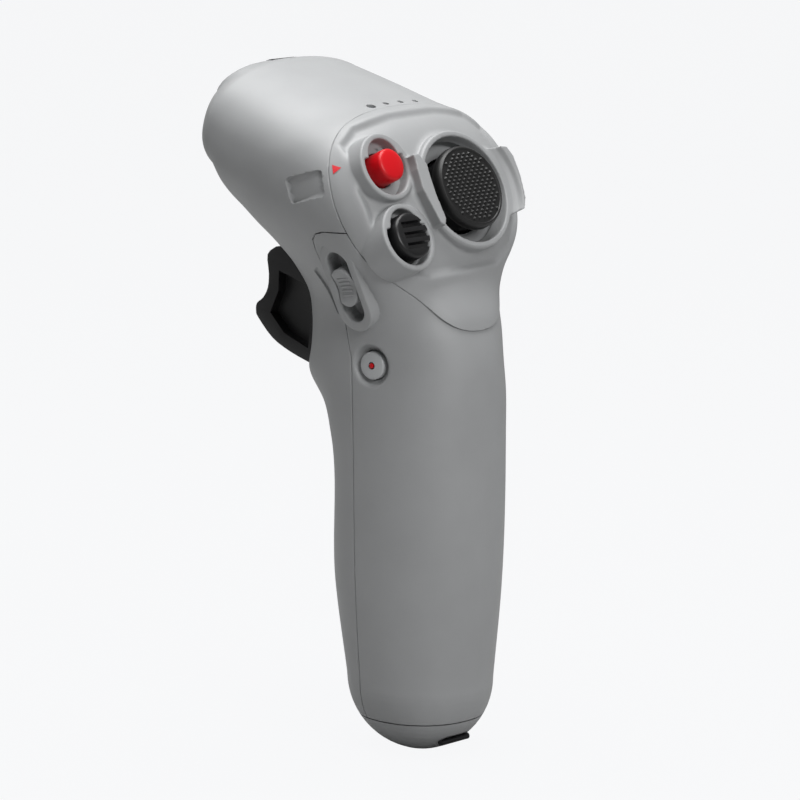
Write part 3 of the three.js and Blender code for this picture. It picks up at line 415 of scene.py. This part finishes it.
# %% Frames
def frame_matrix(origin, x, y, z):
    return Matrix(((x[0], y[0], z[0], origin[0]), (x[1], y[1], z[1], origin[1]),
                   (x[2], y[2], z[2], origin[2]), (0, 0, 0, 1)))


FACE_TILT = math.radians(25)
UP_FACE = Vector((0, math.sin(FACE_TILT), math.cos(FACE_TILT)))
OUT_FACE = Vector((0, -math.cos(FACE_TILT), math.sin(FACE_TILT)))
FACE = frame_matrix((0, 4.5, 153.2), Vector((1, 0, 0)), UP_FACE, OUT_FACE)


def side_frame(origin, along, outward):
    y = Vector(along).normalized()
    z = Vector(outward)
    z = (z - y * z.dot(y)).normalized()
    return frame_matrix(origin, y.cross(z), y, z)


SIDE_TURN = math.radians(7)
SLIDER = side_frame((-23.6, 1.2, NECK + 15), (-0.3, 0.17, 0.94), (-1, 0.05, 0))
RECORD = side_frame((-19.3, -1.6, NECK - 4.5), (0, 0, 1),
                    (-math.cos(SIDE_TURN), -math.sin(SIDE_TURN), 0))
POWER = side_frame((19.3, -1.6, NECK - 4.5), (0, 0, 1),
                   (math.cos(SIDE_TURN), -math.sin(SIDE_TURN), 0))
SIDE_VIEW = frame_matrix((0, 0, 0), Vector((0, 1, 0)), Vector((0, 0, 1)), Vector((1, 0, 0)))


def seen_from(place, co):
    inverse = np.array(place.inverted())
    return co @ inverse[:3, :3].T + inverse[:3, 3]


def smoothstep(value, low, high):
    t = np.clip((value - low) / (high - low), 0, 1)
    return t * t * (3 - 2 * t)


def distance_to_outline(xy, outline):
    """Signed distance to a closed outline: negative inside."""
    ends = np.array(outline, float)
    nearest = np.full(len(xy), 1e9)
    inside = np.zeros(len(xy), bool)
    for a, b in zip(ends, np.roll(ends, -1, axis=0)):
        edge, away = b - a, xy - a
        t = np.clip(away @ edge / (edge @ edge), 0, 1)
        nearest = np.minimum(nearest, np.hypot(*(away - t[:, None] * edge).T))
        crosses = (a[1] > xy[:, 1]) != (b[1] > xy[:, 1])
        at = a[0] + (xy[:, 1] - a[1]) * edge[0] / (edge[1] if edge[1] else 1e-9)
        inside ^= crosses & (xy[:, 0] < at)
    return np.where(inside, -nearest, nearest)


# %% [markdown]
# ## Where the shells part
# A fine seam runs round the face plate, another down both sides of the grip, and a third round
# the bottom. Seen from the side each is a simple line, so each region is a slab across the
# whole width whose edge is that line. The same line, moved by the gap, cuts the neighbour.

# %% Regions
FIT = 0.3
WALL = 2.0
FAR = 60


def curve_through(knots, steps):
    """Points on a smooth curve through the knots."""
    p = np.array(knots, float)
    p = np.vstack([2 * p[0] - p[1], p, 2 * p[-1] - p[-2]])
    out = []
    for t in np.linspace(0, len(knots) - 1, steps):
        i = int(min(t, len(knots) - 2))
        f = t - i
        a, b, c, d = p[i:i + 4]
        out.append(0.5 * (2 * b + (c - a) * f + (2 * a - 5 * b + 4 * c - d) * f ** 2
                          + (3 * b - a - 3 * c + d) * f ** 3))
    return np.array(out)


SEAM = curve_through([(-32, NECK - 10), (-24, NECK), (-17.8, NECK + 6), (-9.6, NECK + 17),
                      (-2.9, NECK + 30), (5.2, NECK + 53), (9, NECK + 65)], 60)


def face_region(grow=0.0):
    outline = [(-90, SEAM[0][1])] + [(y + grow, z) for y, z in SEAM] + [(-90, SEAM[-1][1])]
    return slab("face region", outline, -FAR, FAR, SIDE_VIEW)


def cover_region(grow=0.0):
    edge = [(4, -10), (4, NECK - 3), (5.6, NECK + 4), (7.6, NECK + 11), (8.8, NECK + 18),
            (8.9, NECK + 23), (8.4, NECK + 25.6), (6.6, NECK + 27.2), (3.5, NECK + 27.9),
            (-60, NECK + 30.5)]
    outline = [(-90, -10)] + [(y + grow, z + (grow if i else 0)) for i, (y, z) in enumerate(edge)]
    return slab("cover region", outline + [(-90, NECK + 30.5 + grow)], -FAR, FAR, SIDE_VIEW)


def cap_region(grow=0.0):
    return slab("cap region", [(-FAR, -20), (FAR, -20), (FAR, 8 + grow), (-FAR, 8 + grow)],
                -FAR, FAR, SIDE_VIEW)


# %% [markdown]
# ## What the engineering solid keeps inside
# Behind each skin are bosses, brackets and posts. They are already right in the engineering
# model, so a shell is hollowed with an inner skin that first has the engineering solid taken
# out of it: whatever stood inside stays.

# %% Hollow a shell, keeping its posts
def solid_of(node):
    solid = copy_of(nodes[node], node + " solid")
    solid.data.transform(Matrix.Scale(1 / MM, 4))
    return tidy_normals(solid, 1e-3)


def hollow(obj, node):
    cavity = skin("cavity", WALL, sides=48, steps=60, ends=8)
    cut(cavity, solid_of(node))
    return cut(obj, cavity)


# %% [markdown]
# ## The face plate
# The plate carries everything the thumb meets, so it is sculpted as one moulding. Its blank is
# the skin behind the seam, remeshed to an even net so that it can be pushed like clay. A wide
# pan sinks the middle and leaves a soft ridge round it, a ledge swells above the seam, and the
# skin rises in a fillet towards each ring and wall. Only then are the hard parts joined and the
# wells cut, and one more remesh with a little smoothing melts all of it together.

# %% The plate's controls
LOCK = {"x": -18.6, "u": -13.6, "top": 6.1, "floor": 3.0, "button": 4.0}
MODE = {"x": -18.6, "u": -31.0, "top": 5.7, "floor": 2.2, "button": 5.6}
STICK = {"x": 4.3, "u": -21.9, "rim": 13.4, "top": 7.3, "floor": 2.0}
COLLAR = 8.35
WELL = 6.8
PAN = [(-25.6, -5), (-20, -1.2), (-8, 0.6), (8, 0.8), (20, -0.8), (25.8, -5), (27.8, -14),
       (27.0, -28), (21, -36.5), (12, -40.2), (0, -41), (-12, -41), (-20.5, -38.4), (-25.8, -31),
       (-27.4, -18)]
FIN = [(-11.6, -12.2), (-9.6, -12.2), (-8.0, -15), (-8.3, -22), (-7.6, -28.6), (-8.6, -30.4),
       (-9.8, -29.6), (-12.0, -21)]
GUARD = [(16.2, -12.6), (21.3, -13.4), (22.6, -16), (22.7, -21.5), (21.9, -26.6), (20.3, -29.2),
         (16.0, -30.0), (18.6, -21.9)]


# %% Push the blank like clay
def push_plate(obj):
    co = points(obj)
    local = seen_from(FACE, co)
    x, u, n = local.T
    pan = -distance_to_outline(local[:, :2], PAN)
    shape = 0.42 * np.exp(-((pan + 0.4) / 1.2) ** 2) - 1.3 * smoothstep(pan, -0.2, 2.4)
    lift = np.zeros(len(co))
    for control, radius, spread, height in ((LOCK, COLLAR, 1.1, 0.5), (MODE, COLLAR, 1.1, 0.5),
                                            (STICK, STICK["rim"] + 1.0, 2.2, 0.7)):
        away = np.hypot(x - control["x"], u - control["u"]) - radius
        lift = np.maximum(lift, height * (1 - smoothstep(away, -0.5, spread)) ** 1.6)
    for wall, spread, height in ((FIN, 1.3, 0.7), (GUARD, 2.2, 1.2)):
        away = distance_to_outline(local[:, :2], wall)
        lift = np.maximum(lift, height * (1 - smoothstep(away, -0.2, spread)) ** 1.6)
    local[:, 2] = n + (shape + lift) * smoothstep(n, -4, 1)
    matrix = np.array(FACE)
    co = local @ matrix[:3, :3].T + matrix[:3, 3]
    rear = smoothstep(-co[:, 1], 8, 14)
    middle = np.exp(-(co[:, 0] / 15) ** 4) * rear
    co[:, 1] -= 0.9 * np.exp(-((co[:, 2] - 107.8) / 4.2) ** 2) * middle
    return set_points(obj, co)


def control_place(control):
    return FACE @ Matrix.Translation((control["x"], control["u"], 0))


def well_cutter(control):
    place = control_place(control)
    floor, top = control["floor"], control["top"]
    wide = turned("well", [(WELL, floor), (WELL, top - 0.5), (WELL + 0.4, top + 0.05),
                           (WELL + 0.4, 20)], 72)
    keep_inside(wide, slab("below the step", [(-9, -9), (9, -9), (9, 2.7), (-9, 2.7)], -9, 21))
    narrow = turned("notch", [(5.1, floor), (5.1, 20)], 48, Matrix.Translation((0, 1.9, 0)))
    join(wide, narrow)
    wide.data.transform(place)
    hole = turned("hole", [(control["button"] + FIT, -8), (control["button"] + FIT, 12)], 48, place)
    under = turned("flange room", [(control["button"] + 0.7 + FIT, -6),
                                   (control["button"] + 0.7 + FIT, floor - 1.4)], 48, place)
    return wide, hole, under


# %% Make the plate
def make_plate():
    plate = keep_inside(skin("face_plate"), face_region(3.5))
    soften(plate, 0.42, 2)
    push_plate(plate)
    for control in (LOCK, MODE):
        floor, top = control["floor"], control["top"]
        join(plate, turned("collar", [(COLLAR + 0.2, -2.5), (COLLAR + 0.2, 0), (COLLAR, top - 1.0),
                                      (COLLAR, top - 0.25), (COLLAR - 0.3, top)], 72,
                           control_place(control)))
    rim, top, place = STICK["rim"], STICK["top"], control_place(STICK)
    join(plate, turned("crater", [(rim + 1.5, 0.6), (rim + 1.5, top - 0.7), (rim + 1.1, top)], 96,
                       place))
    join(plate, slab("guard", GUARD, 2.6, 9.0, FACE))
    cut(plate, turned("guard dish", [(15.4, 7.2), (16.6, 7.8), (17.6, 9.3), (17.6, 14)], 96, place))
    cut(plate, turned("bowl", [(9.9, 1.9), (11.4, 2.2), (12.5, 3.4), (13.1, 5.2), (13.4, 7.3),
                               (13.5, 14)], 96, place))
    join(plate, slab("fin", FIN, 1.5, 8.8, FACE))
    cut(plate, turned("swing room", [(11.2, 2.2), (11.8, 4.2), (12.3, 5.2), (12.3, 20)], 96, place))
    for control in (LOCK, MODE):
        cut(plate, *well_cutter(control))
    soften(plate, 0.26, 2)
    cut(plate, turned("stick hole", [(9.6, -6), (9.6, 6)], 72, place))
    keep_inside(plate, face_region())
    hollow(plate, "face_plate")
    thin_out(plate, 160000)
    return settle(plate, "face_plate_shell", "base", GREY, ["face_plate"])


make_plate()


# %% A small red pointer beside the red button
POINTER = side_frame((-28.8, 0.0, 143.3), (0, 0.26, 0.965), (-0.85, -0.5, 0.2))


def make_pointer():
    mark = slab("pointer", [(-1.0, -1.1), (1.1, 0.0), (-1.0, 1.1)], -4, 4, POINTER)
    keep_inside(mark, skin("pointer top", -0.14))
    cut(mark, skin("pointer floor", 0.2))
    return settle(mark, "red_pointer_mark", "base", MARK)


make_pointer()

# %% [markdown]
# ## The front shell
# The head and the front half of the grip are one deep shell. It starts as the same skin, so its
# edge meets the plate's along the whole seam. The net is made even by a remesh and the pad round
# the dial is raised on the nose. Only after the smoothing are the two label recesses, the seams,
# the mouth of the trigger and the small holes cut, so that they stay crisp.

# %% Label recesses and the pad round the dial
def box_distance(a, b, half_a, half_b, corner):
    qa, qb = np.abs(a) - half_a + corner, np.abs(b) - half_b + corner
    outside = np.hypot(np.maximum(qa, 0), np.maximum(qb, 0))
    return outside + np.minimum(np.maximum(qa, qb), 0) - corner


def rounded_box(half_a, half_b, corner, steps=6):
    outline = []
    for quarter, (sa, sb) in enumerate(((1, 1), (-1, 1), (-1, -1), (1, -1))):
        for k in range(steps + 1):
            angle = math.pi / 2 * (quarter + k / steps)
            outline.append((sa * (half_a - corner) + corner * math.cos(angle),
                            sb * (half_b - corner) + corner * math.sin(angle)))
    return outline


def label_recess(place, half_a, half_b, depth, corner=0.8):
    tool = slab("label recess", rounded_box(half_a, half_b, corner), -8, 8, place)
    return cut(tool, skin("label floor", depth, sides=100, steps=100))


LOCK_LABEL = side_frame((-29.4, 8.4, 138.4), (0, 0.26, 0.965), (-1, -0.16, 0))
TILT_LABEL = side_frame((-23.2, 10.4, 112.2), (-0.10, 0.49, 0.87), (-1, 0.10, -0.2))
SEAT = Vector((0, 47.36, 159.5))
SEAT_OUT = Vector((0, 0.888, 0.460))
DIAL = {"y": 43.72, "z": 157.62, "radius": 6.5, "half": 4.5, "pad": 0.8}
PAD = side_frame(SEAT, (1, 0, 0), SEAT_OUT)


def raise_pad(obj):
    co = points(obj)
    a, b, out = seen_from(PAD, co).T
    away = box_distance(a, b, 5.5, 21, 5.4)
    push = DIAL["pad"] * (1 - smoothstep(away, -0.5, 0.7))
    co += np.where(np.abs(out) < 9, push, 0)[:, None] * np.array(PAD)[:3, 2]
    return set_points(obj, co)


# %% Cutters for the front shell
def trigger_mouth():
    outline = [(18, 90.2), (60, 90.2), (60, 117), (41.8, 120.9), (34, 122.4), (25, 122.4), (18, 116)]
    return slab("trigger mouth", outline, -7.2, 7.2, SIDE_VIEW)


def across(name, y, z, half, radius, sides=48):
    place = SIDE_VIEW @ Matrix.Translation((y, z, 0))
    return turned(name, [(radius, -half), (radius, half)], sides, place)


LIGHTS = {"first": -7.8, "step": 5.2, "y": 8.2, "radius": 0.5}


def light_holes():
    holes = []
    for k in range(4):
        radius = LIGHTS["radius"] + 0.28
        place = Matrix.Translation((LIGHTS["first"] + k * LIGHTS["step"], LIGHTS["y"], 0))
        holes.append(turned("light hole", [(radius + (0.4 if k == 0 else 0), 145),
                                           (radius + (0.4 if k == 0 else 0), 172)], 32, place))
    return holes


# %% Make the front shell
def make_front():
    shell = cut(skin("front_shell"), cover_region(-2.5), face_region(-2.5))
    soften(shell, 0.5, 4)
    raise_pad(shell)
    finish_modifier(shell, 'SMOOTH', factor=0.4, iterations=1)
    cut(shell, label_recess(LOCK_LABEL, 5.6, 3.1, 0.7), label_recess(TILT_LABEL, 1.8, 6.0, 0.6))
    cut(shell, face_region(FIT), cover_region(FIT), cap_region(FIT))
    cut(shell, across("dial room", DIAL["y"], DIAL["z"], DIAL["half"] + 0.5, DIAL["radius"] + 0.5, 72))
    cut(shell, trigger_mouth(), *light_holes())
    hollow(shell, "front_shell")
    thin_out(shell, 190000)
    return settle(shell, "front_shell_skin", "base", GREY, ["front_shell"])


make_front()

# %% [markdown]
# ## The back cover and the bottom cap
# The cover is the palm side of the grip with a tab that climbs beside the slider. A raised
# racetrack surrounds the slider's slot, and two dished wells hold the round buttons. The cap
# closes the bottom end, with the charging port and a bar for a wrist cord.

# %% Wells in the sides
DISH = 5.2
SIDE_BUTTON = 3.4


def dish_cutter(place):
    profile = [(SIDE_BUTTON + FIT, -2.4), (DISH - 1.1, -2.2), (DISH - 0.35, -1.2), (DISH, -0.1),
               (DISH + 0.3, 4)]
    return turned("dish", profile, 72, place)


def button_hole(place):
    hole = turned("hole", [(SIDE_BUTTON + FIT, -9), (SIDE_BUTTON + FIT, 4)], 72, place)
    join(hole, turned("flange room", [(SIDE_BUTTON + 1.6, -12), (SIDE_BUTTON + 1.6, -3.8)], 48, place))
    return hole


def slider_rim():
    rim = slab("slider rim", slot_outline(23.0, 10.8, 24), -4, 1.1)
    cut(rim, slab("slot", slot_outline(18, 6.4, 24), -3, 6))
    round_edges(rim, 0.45, 4)
    rim.data.transform(SLIDER)
    return rim


# %% Make the cover and the cap
def make_cover():
    cover = keep_inside(skin("back_cover"), cover_region(3.0))
    cut(cover, face_region(-3.0))
    for place in (RECORD, POWER):
        cut(cover, dish_cutter(place))
    soften(cover, 0.4, 4)
    cut(cover, slab("slot", slot_outline(18.1, 6.5, 24), -3, 6, SLIDER))
    join(cover, slider_rim())
    for place in (RECORD, POWER):
        cut(cover, button_hole(place))
    cut(cover, slab("slit", slot_outline(14, 2.4), -8, 0, SLIDER))
    keep_inside(cover, cover_region())
    cut(cover, face_region(FIT), cap_region(FIT))
    hollow(cover, "back_cover")
    thin_out(cover, 180000)
    return settle(cover, "back_cover_skin", "base", GREY, ["back_cover"])


def make_cap():
    cap = keep_inside(skin("bottom_cap"), cap_region(3.0))
    cut(cap, slab("ground", [(-FAR, -FAR), (FAR, -FAR), (FAR, FAR), (-FAR, FAR)], -9, 0))
    port = [(y, x) for x, y in slot_outline(9.6, 3.8)]
    cut(cap, slab("port", port, -1, 8, Matrix.Translation((0, 7, 0))))
    cut(cap, slab("cord slot", [(-4, -22), (4, -22), (4, -8.5), (-4, -8.5)], -1, 4.4))
    soften(cap, 0.3, 2)
    keep_inside(cap, cap_region())
    hollow(cap, "bottom_cap")
    return settle(cap, "bottom_cap_skin", "base", GREY, ["bottom_cap"])


make_cover()
make_cap()
# %% [markdown]
# ## The face buttons
# Both buttons are turned: a flange under the plate, a straight wall, and a rounded shoulder. The
# red one is gently domed. The black one is cut by three grooves that leave four ribs for the
# thumb, and the grooves stop short of its left edge.

# %% Face buttons
def domed_button(name, radius, top, low, dome):
    flange = low - 1.0
    return turned(name, [(radius + 0.7, flange), (radius + 0.7, low), (radius, low + 0.02),
                         (radius, top - 0.9), (radius - 0.08, top - 0.55), (radius - 0.3, top - 0.25),
                         (radius - 0.65, top - 0.08), (radius - 1.1, top), (radius * 0.45, top + dome),
                         (0.3, top + dome * 1.15)], 80)


def make_lock_button():
    button = domed_button("lock", LOCK["button"], 7.95, LOCK["floor"] - 1.7, 0.18)
    join(button, turned("stem", [(1.4, -1.6), (1.4, 1.2)], 24))
    button.data.transform(control_place(LOCK))
    return settle(button, "lock_button_red", "lock", RED, ["lock_button"])


def make_mode_button():
    button = domed_button("mode", MODE["button"], 7.3, MODE["floor"] - 1.7, 0.08)
    for k in (-1, 0, 1):
        groove = slab("groove", [(-0.95, 8.2), (0.95, 8.2), (0.42, 5.9), (-0.42, 5.9)], -3.2, 8)
        groove.data.transform(Matrix(((0, 0, 1, 0), (1, 0, 0, k * 2.6), (0, 1, 0, 0), (0, 0, 0, 1))))
        cut(button, groove)
    round_edges(button, 0.14, 2, 30)
    join(button, turned("stem", [(1.4, -1.6), (1.4, 0.4)], 24))
    button.data.transform(control_place(MODE))
    return settle(button, "mode_button_black", "mode", BLACK, ["mode_button"])


make_lock_button()
make_mode_button()

# %% [markdown]
# ## The stick
# The cap is turned with a rounded rim, and its top is a field of small blunt pyramids so that the
# thumb does not slip. They are set out on a square grid turned by 45 degrees. Under it a domed
# skirt, part of a ball about the pivot, closes the crater.

# %% Stick
def pyramids(pitch, reach, height):
    studs = []
    count = int(reach / pitch) + 2
    for i in range(-count, count + 1):
        for j in range(-count, count + 1):
            x, y = (i - j) * pitch * 0.7071, (i + j) * pitch * 0.7071
            if math.hypot(x, y) < reach:
                bpy.ops.mesh.primitive_cone_add(vertices=4, radius1=pitch * 0.66, radius2=pitch * 0.12,
                                                depth=0.8, location=(x, y, height))
                studs.append(bpy.context.object)
    pick(*studs)
    bpy.ops.object.join()
    field = named("pyramids")
    bpy.ops.object.transform_apply(location=True, rotation=True, scale=True)
    return field


def make_stick():
    cap = turned("cap", [(8.6, 5.9), (10.1, 6.3), (10.35, 7.2), (10.3, 8.3), (10.05, 8.9), (9.7, 9.2),
                         (9.4, 9.2), (9.2, 9.0)], 96)
    cut(cap, turned("bore", [(1.9, 4), (1.9, 7.4)], 32))
    field = pyramids(1.25, 8.8, 9.1)
    pick(field, cap)
    bpy.ops.object.join()
    cap.data.transform(control_place(STICK))
    return settle(cap, "joystick_cap_rubber", "stick", RUBBER, ["joystick_cap"], 30)


def make_dome():
    centre = Matrix.Translation((0, 0, -0.5))
    bpy.ops.mesh.primitive_uv_sphere_add(segments=72, ring_count=48, radius=9.3)
    dome = named("dome")
    bpy.ops.mesh.primitive_uv_sphere_add(segments=72, ring_count=48, radius=8.2)
    cut(dome, named("inside"))
    dome.data.transform(centre)
    keep_inside(dome, turned("band", [(12, 1.5), (12, 5.6)], 48))
    cut(dome, turned("bore", [(1.9, 0), (1.9, 20)], 32))
    dome.data.transform(control_place(STICK))
    return settle(dome, "joystick_dome_skirt", "stick", BLACK, ["joystick_dome"])


make_stick()
make_dome()

# %% [markdown]
# ## The slider and the side buttons
# The slider is a racetrack with a thumb scoop and fine ribs across it. The record button carries
# a red dot, and the power button is plain. Both side buttons are held by a flange.

# %% Slider and side buttons
def make_slider():
    slider = slab("slider", slot_outline(9.6, 5.8, 24), -2.7, 1.6)
    crosswise = Matrix.Rotation(math.pi / 2, 4, 'Y')
    above = Matrix.Translation((0, 0, 7.2)) @ crosswise
    cut(slider, turned("scoop", [(6.6, -6), (6.6, 6)], 96, above))
    for k in range(-2, 3):
        place = Matrix.Translation((0, k * 1.05, 0.66 + 0.08 * k * k)) @ crosswise
        join(slider, turned("rib", [(0.26, -1.7), (0.26, 1.7)], 16, place))
    round_edges(slider, 0.16, 2, 40)
    join(slider, slab("stem", [(-0.8, -2), (0.8, -2), (0.8, 2), (-0.8, 2)], -5.9, -2.5))
    slider.data.transform(SLIDER)
    return settle(slider, "tilt_slider_grip", "slider", GREY, ["tilt_slider"])


SIDE_TOP = -0.95


def side_button(name):
    r, top = SIDE_BUTTON, SIDE_TOP
    return turned(name, [(r + 1.1, -5.1), (r + 1.1, -4.1), (r, -4.08), (r, top - 0.45),
                         (r - 0.15, top - 0.15), (r - 0.45, top), (0.3, top + 0.1)], 72)


def make_side_buttons():
    record = side_button("record")
    cut(record, turned("dot hole", [(0.92, -2), (0.92, 2)], 32))
    record.data.transform(RECORD)
    settle(record, "record_button_face", "record", PALE, ["record_button"])
    dot = turned("dot", [(0.6, -1.7), (0.6, -0.78), (0.5, -0.68), (0.2, -0.64)], 32, RECORD)
    settle(dot, "record_dot_red", "record", RED, ["record_dot"])
    power = side_button("power")
    power.data.transform(POWER)
    settle(power, "power_button_face", "power", GREY, ["power_button"])


make_slider()
make_side_buttons()

# %% [markdown]
# ## The trigger and the dial
# The trigger starts from its engineering solid, so its pockets, bore and magnet hole are right;
# a bevel rounds its edges for the finger. The dial gets a fine knurl from a toothed outline.

# %% Trigger and dial
def make_trigger():
    trigger = solid_of("trigger")
    round_edges(trigger, 0.35, 3, 30)
    return settle(trigger, "trigger_grip", "trigger", BLACK, ["trigger"], 35)


def make_dial():
    teeth = 48
    outline = []
    for k in range(teeth * 4):
        angle = 2 * math.pi * k / (teeth * 4)
        r = DIAL["radius"] - 0.02 - (0.3 if k % 4 in (2, 3) else 0)
        outline.append((r * math.cos(angle), r * math.sin(angle)))
    wheel = slab("dial", outline, -DIAL["half"], DIAL["half"])
    keep_inside(wheel, turned("rounded", [(5.9, -4.5), (6.5, -3.9), (6.5, 3.9), (5.9, 4.5)], 96))
    cut(wheel, turned("bore", [(1.3, -6), (1.3, 6)], 32))
    wheel.data.transform(SIDE_VIEW @ Matrix.Translation((DIAL["y"], DIAL["z"], 0)))
    return settle(wheel, "function_dial_knurled", "dial", BLACK,
                  ["function_dial"], 30)


make_trigger()
make_dial()

# %% [markdown]
# ## Finishes for the parts that stay
# The engineering solids nobody replaced, such as boards, screws, pins and switches, are shown
# too. Each takes the finish the table below gives for its name, and plated steel otherwise.

# %% Finishes on the remaining solids
KINDS = {
    "joystick_yoke": BLACK, "chassis": BLACK, "slider_sensor": BLACK, "lock_switch": BLACK,
    "mode_switch": BLACK, "control_board": BOARD, "main_board": BOARD, "trigger_sensor": BOARD,
    "record_switch": BOARD, "power_switch": BOARD, "antenna_board": BOARD, "battery_cell": WRAP,
    "light_guide": LAMP, "cord_bar": DARK_STEEL}
made = {"front_shell", "back_cover", "bottom_cap", "face_plate", "lock_button", "mode_button",
        "joystick_cap", "joystick_dome", "tilt_slider", "record_button", "record_dot", "power_button",
        "trigger", "function_dial"}
for name, node in nodes.items():
    if name not in made:
        for slot in node.material_slots:
            slot.material = KINDS.get(name, STEEL)
print("solids that stay:", len(nodes) - len(made))

# %% [markdown]
# ## Floor and light
# A pale sheet, a broad soft box overhead, a key light behind the controller's back and two weak
# lamps show the form without hard shadows. Camera rays and rays through clear parts see a bright background.



# %% Floor, light and finish
def area_light(name, place, size, power, target=(0, 0, 0.09), colour=(1, 1, 1)):
    place, target = Vector(place), Vector(target)
    turn = (place - target).to_track_quat('Z', 'Y').to_euler()
    bpy.ops.object.light_add(type='AREA', location=place, rotation=turn)
    lamp = named(name)
    lamp.data.shape = 'DISK'
    lamp.data.size = size
    lamp.data.energy = power
    lamp.data.color = colour
    return lamp


area_light("top soft box", (0.02, 0.05, 0.85), 0.75, 11.0)
area_light("rear key", (-0.22, -0.76, 0.55), 0.45, 4.9)
area_light("left fill", (-0.85, -0.25, 0.30), 0.5, 0.1)
area_light("front rim", (-0.35, 0.75, 0.45), 0.5, 0.9)

world = bpy.data.worlds.new("studio")
bpy.context.scene.world = world
world.use_nodes = True
tree = world.node_tree
sky = tree.nodes["Background"]
sky.inputs["Color"].default_value = (1, 1, 1, 1)
rays = tree.nodes.new('ShaderNodeLightPath')
seen = tree.nodes.new('ShaderNodeMath')
seen.operation = 'MAXIMUM'
tree.links.new(rays.outputs["Is Camera Ray"], seen.inputs[0])
tree.links.new(rays.outputs["Is Transmission Ray"], seen.inputs[1])
shiny = tree.nodes.new('ShaderNodeMath')
shiny.operation = 'MULTIPLY'
shiny.inputs[1].default_value = 0.35
tree.links.new(rays.outputs["Is Glossy Ray"], shiny.inputs[0])
lit = tree.nodes.new('ShaderNodeMath')
lit.operation = 'MAXIMUM'
tree.links.new(seen.outputs["Value"], lit.inputs[0])
tree.links.new(shiny.outputs["Value"], lit.inputs[1])
level = tree.nodes.new('ShaderNodeMapRange')
level.inputs["To Min"].default_value = 0.1
level.inputs["To Max"].default_value = 0.95
tree.links.new(lit.outputs["Value"], level.inputs["Value"])
tree.links.new(level.outputs["Result"], sky.inputs["Strength"])

bpy.ops.mesh.primitive_plane_add(size=8)
floor = named("floor")
paper = bpy.data.materials.new("pale paper")
paper.use_nodes = True
tree = paper.node_tree
tree.nodes["Principled BSDF"].inputs["Base Color"].default_value = (0.42, 0.42, 0.42, 1)
tree.nodes["Principled BSDF"].inputs["Roughness"].default_value = 0.8
glow = tree.nodes.new('ShaderNodeEmission')
glow.inputs["Color"].default_value = (0.945, 0.95, 0.96, 1)
glow.inputs["Strength"].default_value = 1.0
blend = tree.nodes.new('ShaderNodeMixShader')
rays = tree.nodes.new('ShaderNodeLightPath')
share = tree.nodes.new('ShaderNodeMath')
share.operation = 'MULTIPLY'
share.inputs[1].default_value = 0.97
tree.links.new(rays.outputs["Is Camera Ray"], share.inputs[0])
tree.links.new(share.outputs["Value"], blend.inputs["Fac"])
tree.links.new(tree.nodes["Principled BSDF"].outputs["BSDF"], blend.inputs[1])
tree.links.new(glow.outputs["Emission"], blend.inputs[2])
tree.links.new(blend.outputs["Shader"], tree.nodes["Material Output"].inputs["Surface"])
floor.data.materials.append(paper)
